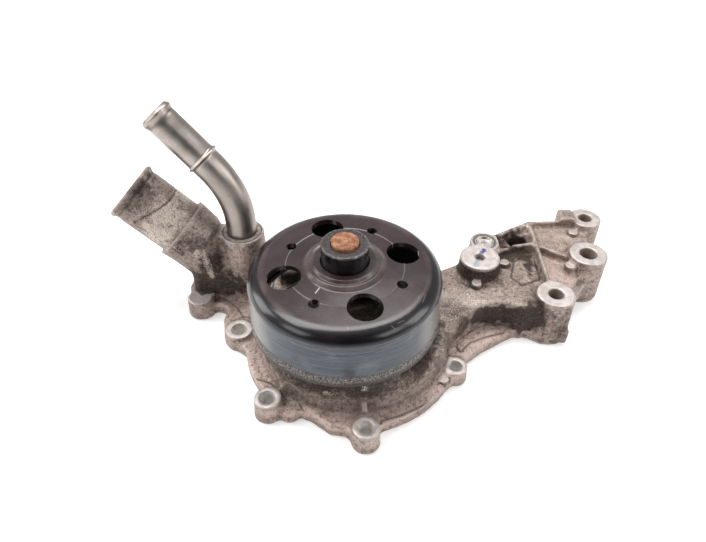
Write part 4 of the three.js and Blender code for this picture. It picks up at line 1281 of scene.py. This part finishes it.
def make_tube():
    """A bent tube swept along its centreline, with a stop bead, an end bead and a curled lip."""
    total = BEND_Z - TUBE_FOOT + BEND_R * BEND_ANGLE + STRAIGHT
    stop = total - STRAIGHT + 5.6
    end_bead = total - 2.7
    ring = []
    distance = 0.0
    while distance < total - 0.45:
        swell = 1.6 * bell(distance - stop, 0.95) + 1.0 * bell(distance - end_bead, 1.7)
        neck = 0.3 * bell(distance - end_bead + 3.6, 1.0)
        curl = 0.75 * max(0.0, (distance - end_bead) / 2.7) ** 2
        ring.append((distance, TUBE_R + swell - neck - curl))
        distance += 0.35 if abs(distance - stop) < 3 or distance > total - 8 else 1.4
    edge = ring[-1][1]
    ring += [
        (total - 0.12, edge - 0.25), (total - 0.02, edge - 0.7), (total - 0.15, TUBE_BORE + 0.25),
        (total - 0.6, TUBE_BORE),
    ]
    distance = total - 2.0
    while distance > 0.5:
        ring.append((distance, TUBE_BORE))
        distance -= 2.8
    ring.append((0.3, TUBE_BORE + 0.1))
    sides = 72
    side_axis = Vector((-math.sin(HEADING), math.cos(HEADING), 0))
    vertices = []
    soil_and_shade = []
    for distance, radius in ring:
        place, direction = tube_station(min(distance, total))
        vertices += hoop(place, side_axis, direction.cross(side_axis), radius, sides)
        # Inside the tube it is painted dark as painted shade; the groove, the foot and the end lip
        # are darkened too.
        inside = radius < TUBE_R - 0.6 and distance < total - 0.1
        lip = 0.35 if distance > total - 1.4 else 0.0
        groove = bell(distance - end_bead + 3.4, 0.9) * 0.55
        foot = 0.8 * max(0.0, min(1.0, (18.5 - distance) / 3))
        soil_and_shade += [0.85 if inside else max(groove, foot, lip)] * sides
    faces = skin(even_rings(len(ring), sides))
    tube = fix_normals(new_object(
        "heater_tube_bent", vertices, faces, "housing", tube_material(), 50
    ))
    add_map(tube, "soil_and_shade", soil_and_shade)
    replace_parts(tube, "heater_tube")


make_tube()


# ---------- plug, seals, bearing and impeller ----------
def simple_look(name, light, dark, roughness, metallic, size=5.0, strength=0.25, streaks=(1, 1, 1)):
    """A material with cloudy colour, fine grain and varied roughness."""
    look = Look(name)
    cloudy = look.noise(size, 5, 0.65, stretch=streaks)
    fine = look.noise(0.8, 5, 0.75)
    colour = look.layers(
        dark,
        (cloudy.ramp(0.32, 0.7), light),
        (fine.ramp(0.56, 0.78, 0, 0.5), tuple(channel * 0.55 for channel in dark)),
    )
    rough = cloudy.ramp(0.3, 0.7, roughness * 0.82, min(1.0, roughness * 1.2))
    bumped = look.bump(fine + cloudy * 0.5, strength, 0.12)
    return look.finish(Base_Color=colour, Roughness=rough, Metallic=metallic, Normal=bumped)


def span(node):
    """Centre and size of a CAD node in millimetres."""
    low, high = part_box(node)
    return (low + high) / 2 / MM, (high - low) / MM


# The second colour of each is the darker one; then roughness and metallic.
STEEL = simple_look(
    "bearing_steel_ground", (0.66, 0.66, 0.64), (0.50, 0.50, 0.49), 0.22, 1.0, streaks=(1, 1, 0.08)
)
RUBBER = simple_look("seal_rubber_moulded", (0.030, 0.030, 0.032), (0.014, 0.014, 0.016), 0.6, 0.0)
DUSTY = simple_look("seal_rubber_dusty", (0.44, 0.39, 0.345), (0.17, 0.14, 0.12), 0.8, 0.0, 2.5)
GASKET = simple_look("gasket_rubber_moulded", (0.04, 0.04, 0.045), (0.02, 0.02, 0.024), 0.55, 0, 8)
BRASS = simple_look("seal_brass_drawn", (0.72, 0.53, 0.25), (0.50, 0.35, 0.16), 0.32, 1.0)
CARBON = simple_look("seal_carbon_lapped", (0.055, 0.055, 0.06), (0.025, 0.025, 0.03), 0.4, 0.0)
CERAMIC = simple_look("seal_ceramic_lapped", (0.86, 0.84, 0.79), (0.74, 0.71, 0.65), 0.3, 0.0)
NYLON = simple_look("cage_nylon", (0.74, 0.66, 0.48), (0.58, 0.50, 0.34), 0.5, 0.0)
MOULDED = simple_look("impeller_moulded", (0.070, 0.066, 0.062), (0.030, 0.028, 0.027), 0.5, 0.0, 9)
ZINC = simple_look("plug_zinc_dull", (0.56, 0.54, 0.51), (0.36, 0.33, 0.30), 0.42, 0.9, 4, 0.4)

turned_piece("core_plug", "core_plug_pressed", "housing", "plug_steel", ZINC, [
    (0, 31.2), (7, 31.2, 0.3), (7, 34.4, 0.3), (6.3, 34.4, 0.3), (5.2, 32.6, 0.8),
    (2.0, 32.45, 0.6), (1.6, 32.9, 0.4), (0, 32.95),
], PLUG)

seal_centre, seal_size = span("heater_tube_seal")
seal_foot = seal_centre.z - seal_size.z / 2
turned_piece("heater_tube_seal", "tube_seal_ring", "housing", "seal_rubber", DUSTY, [
    (TUBE_R + 0.06, seal_foot, 0.3), (seal_size.x / 2, seal_foot, 0.3),
    (seal_size.x / 2, SOCKET_TOP - 0.35, 0.3), (TUBE_R + 0.06, SOCKET_TOP - 0.1, 0.25),
], SOCKET)

for row, body in (("rear", "rear_ball_train"), ("front", "front_ball_train")):
    for index in range(1, 8):
        node = f"ball_{row}_{index}"
        centre, size = span(node)
        shape = bmesh.new()
        bmesh.ops.create_icosphere(shape, subdivisions=4, radius=size.z / 2)
        vertices = [vertex.co + centre for vertex in shape.verts]
        faces = [tuple(vertex.index for vertex in face.verts) for face in shape.faces]
        shape.free()
        name = f"bearing_ball_{row}_{index}"
        ball = new_object(name, vertices, faces, body, STEEL)
        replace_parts(ball, node)

bearing_profile = [(13.8, 30, 0.4), (19, 30, 0.6), (19, 64, 0.8), (13.8, 64, 0.4)]
for z in reversed(BALL_ROWS):
    bearing_profile += [
        (13.8, z + 2.6, 0.2), (15.0, z + 1.1, 1.0), (15.1, z, 1.0), (15.0, z - 1.1, 1.0),
        (13.8, z - 2.6, 0.2),
    ]
turned_piece(
    "bearing_outer_ring", "bearing_ring_ground", "housing", "bearing_steel", STEEL, bearing_profile
)

for name, low, high in (("rear", 30.4, 32.2), ("front", 61.8, 63.6)):
    turned_piece(f"bearing_seal_{name}", f"bearing_lip_{name}", "housing", "seal_rubber", RUBBER, [
        (SLIP_R, low, 0.2), (9.6, low, 0.4), (10.4, low + 0.5, 0.4), (13.5, low + 0.3, 0.3),
        (13.5, high - 0.3, 0.3), (10.4, high - 0.5, 0.4), (9.6, high, 0.4), (SLIP_R, high, 0.2),
    ])

# Pieces of the shaft seal: node, name, body, slot, material, profile.
SEAL_PIECES = [
    ("seal_case", "seal_case_drawn", "housing", "seal_brass", BRASS, [
        (15.6, 16, 0.1), (16.4, 16, 0.4), (17, 17, 0.5), (17, 26.7, 1.0), (10.4, 26.7, 0.3),
        (10.4, 25.7, 0.3), (15.6, 25.7, 0.8),
    ]),
    ("seal_bellows", "seal_bellows_moulded", "housing", "seal_rubber", RUBBER, [
        (9, 19.8, 0.2), (12.2, 19.8, 0.5), (12.2, 22, 0.8), (11.4, 23, 0.8), (12.2, 24, 0.8),
        (12.2, 25.3, 0.5), (9, 25.3, 0.2),
    ]),
    ("seal_carbon_ring", "seal_carbon_face", "housing", "seal_carbon", CARBON, [
        (9, 17.7, 0.1), (11, 17.7, 0.2), (12.4, 18.4, 0.3), (12.4, 19.5, 0.2), (9, 19.5, 0.1),
    ]),
    ("seal_seat_ring", "seal_seat_face", "rotor", "seal_ceramic", CERAMIC, [
        (8.6, 15.2, 0.2), (12.6, 15.2, 0.3), (12.6, 17.4, 0.2), (8.6, 17.4, 0.1),
    ]),
    ("seal_seat_cup", "seal_seat_grip", "rotor", "seal_rubber", RUBBER, [
        (6.7, 14.8, 0.2), (8.3, 14.8, 0.3), (8.3, 17.4, 0.3), (6.7, 17.4, 0.2),
    ]),
]
for piece in SEAL_PIECES:
    turned_piece(*piece)


def make_spring():
    """The seal's coil spring as a swept round wire with closed ends."""
    turns, wire, coil_r, low, high = 2.5, 0.5, 13.6, 20.6, 24.4
    stations, sides = 150, 12
    vertices = []
    for station in range(stations + 1):
        share = station / stations
        angle = 2 * math.pi * turns * share
        out = Vector((math.cos(angle), math.sin(angle), 0))
        place = out * coil_r + UP * (low + (high - low) * share)
        vertices += hoop(place, out, UP, wire, sides)
    faces = skin(even_rings(stations + 1, sides), capped=True)
    spring = fix_normals(new_object(
        "seal_spring_wound", vertices, faces, "housing", STEEL
    ))
    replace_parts(spring, "seal_spring")


def make_impeller():
    """A back plate with a hub, and swept vanes with rounded edges."""
    plate = lathe("impeller_wheel", rounded([
        (6.7, 3.05, 0.3), (10.2, 3.05, 0.5), (11.5, 11.0, 1.6), (20, 12.0, 2.0), (32.9, 12.0, 0.5),
        (32.9, 13.9, 0.6), (14, 14.3, 1.0), (6.7, 14.45, 0.3),
    ]), "rotor", MOULDED, 128)
    vanes, steps, half_thick = 7, 14, 1.0
    first_r, reach, sweep = 10.2, 21.6, 0.88
    section = ((-1, 12.6), (-1, 3.5), (-0.5, 3.05), (0.5, 3.05), (1, 3.5), (1, 12.6))
    vertices = []
    faces = []
    for vane in range(vanes):
        faces += skin(even_rings(steps + 1, len(section), len(vertices)), capped=True)
        start = 2 * math.pi * vane / vanes
        for step in range(steps + 1):
            share = step / steps
            radius = first_r + reach * share
            angle = start - sweep * share
            heading = math.atan2(-sweep * radius, reach) + angle
            thinner = half_thick * (1 - 0.45 * share**3)
            side = Vector((-math.sin(heading), math.cos(heading), 0)) * thinner
            middle = Vector((radius * math.cos(angle), radius * math.sin(angle), 0))
            vertices += [middle + side * offset + Vector((0, 0, z)) for offset, z in section]
    blades = fix_normals(new_object(
        "impeller_vanes", vertices, faces, "rotor", MOULDED, 50
    ))
    combine(plate, [blades], "UNION")
    shade(plate.data, 40)
    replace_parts(plate, "impeller")


make_spring()
make_impeller()

KEPT_NODES = {
    "outlet_gasket": GASKET,
    "inlet_gasket": GASKET,
    "ball_cage_rear": NYLON,
    "ball_cage_front": NYLON,
}
for node, material in KEPT_NODES.items():
    NODES[node].data.materials.clear()
    NODES[node].data.materials.append(material)


# ---------- floor, light and camera ----------
FLOOR_HALF = 30.0
FLOOR_DROP = 0.0002
LIGHTS_AIM = Vector((0, 0.02, 0.04))
# Softboxes: name, place, size, power.
SOFTBOXES = [
    ("top", (-0.15, 0.36, 1.28), (1.6, 0.55), 18),
    ("left", (-1.1, 0.2, 0.5), (0.5, 0.7), 5),
    ("right", (1.1, -0.1, 0.55), (0.5, 0.7), 4),
    ("front_left", (-0.85, -0.6, 0.75), (0.5, 0.5), 2.2),
    ("front_right", (0.85, -0.65, 0.75), (0.5, 0.5), 2.2),
]
SENSOR_MM = 36.0
LENS_MM = 30.5949
CAMERA_PLACE = (0.00468, -0.26084, 0.30155)
CAMERA_PITCH = math.radians(41.556)
CAMERA_ROLL = math.radians(0.736)


def make_floor():
    look = Look("studio_floor")
    tone = look.mix(look.noise(400, 2, 0.4), (0.76, 0.76, 0.76), (0.79, 0.79, 0.79))
    look.finish(Base_Color=tone, Roughness=0.9, Emission_Color=(1, 1, 1), Emission_Strength=0.4)
    mesh = bpy.data.meshes.new("floor")
    corners = [(x * FLOOR_HALF, y * FLOOR_HALF, 0) for x, y in ((-1, -1), (1, -1), (1, 1), (-1, 1))]
    mesh.from_pydata(corners, [], [(0, 1, 2, 3)])
    mesh.materials.append(look.material)
    floor = add_item("floor", mesh)
    floor.location.z = -FLOOR_DROP
    floor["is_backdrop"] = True


def make_world():
    """A pale room, with a darker patch on the viewer's side that stays clear of the horizon."""
    world = bpy.data.worlds.new("studio")
    bpy.context.scene.world = world
    world.use_nodes = True
    room = Nodes(world.node_tree)
    direction = room.add("ShaderNodeTexCoord", {}, "Generated")
    height = room.add("ShaderNodeSeparateXYZ", {0: direction}, "Z")
    fade = room.add("ShaderNodeValToRGB", {0: height})
    stops = fade.socket.node.color_ramp.elements
    stops[0].position, stops[0].color = 0.0, (0.75, 0.75, 0.76, 1)
    stops[1].position, stops[1].color = 0.9, (0.95, 0.95, 0.95, 1)
    stops.new(0.45).color = (0.55, 0.55, 0.56, 1)
    towards_viewer = {0: direction, 1: (0.05, -0.86, 0.50)}
    facing = room.add("ShaderNodeVectorMath", towards_viewer, "Value", operation="DOT_PRODUCT")
    patch = facing.ramp(0.35, 0.95, 1.0, 0.12)
    share = room.lerp(height.ramp(0.08, 0.26), 1.0, patch)
    dimmed = room.add("ShaderNodeVectorMath", {0: fade, "Scale": share}, operation="SCALE")
    background = room.tree.nodes["Background"]
    room.put(dimmed, background.inputs["Color"])
    room.put(0.85, background.inputs["Strength"])


def make_lights():
    for name, place, size, power in SOFTBOXES:
        light = bpy.data.lights.new(name, "AREA")
        light.shape = "RECTANGLE"
        light.size, light.size_y = size
        light.energy = power
        item = add_item(name, light)
        item.location = place
        item.rotation_euler = (LIGHTS_AIM - Vector(place)).to_track_quat("-Z", "Y").to_euler()
    settings = bpy.context.scene.view_settings
    settings.view_transform = "Standard"
    settings.look = "None"
    settings.exposure = 0.0


def make_camera():
    camera = bpy.data.cameras.new("camera")
    camera.sensor_width = SENSOR_MM
    camera.lens = LENS_MM
    camera.clip_start = 0.01
    right = Vector((1, 0, 0))
    up = Vector((0, math.sin(CAMERA_PITCH), math.cos(CAMERA_PITCH)))
    ahead = Vector((0, math.cos(CAMERA_PITCH), -math.sin(CAMERA_PITCH)))
    rolled_right = math.cos(CAMERA_ROLL) * right + math.sin(CAMERA_ROLL) * up
    rolled_up = -math.sin(CAMERA_ROLL) * right + math.cos(CAMERA_ROLL) * up
    turn = Matrix((rolled_right, rolled_up, -ahead)).transposed().to_4x4()
    item = add_item("camera", camera)
    item.matrix_world = Matrix.Translation(CAMERA_PLACE) @ turn
    bpy.context.scene.camera = item


make_floor()
make_world()
make_lights()
make_camera()

low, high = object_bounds()
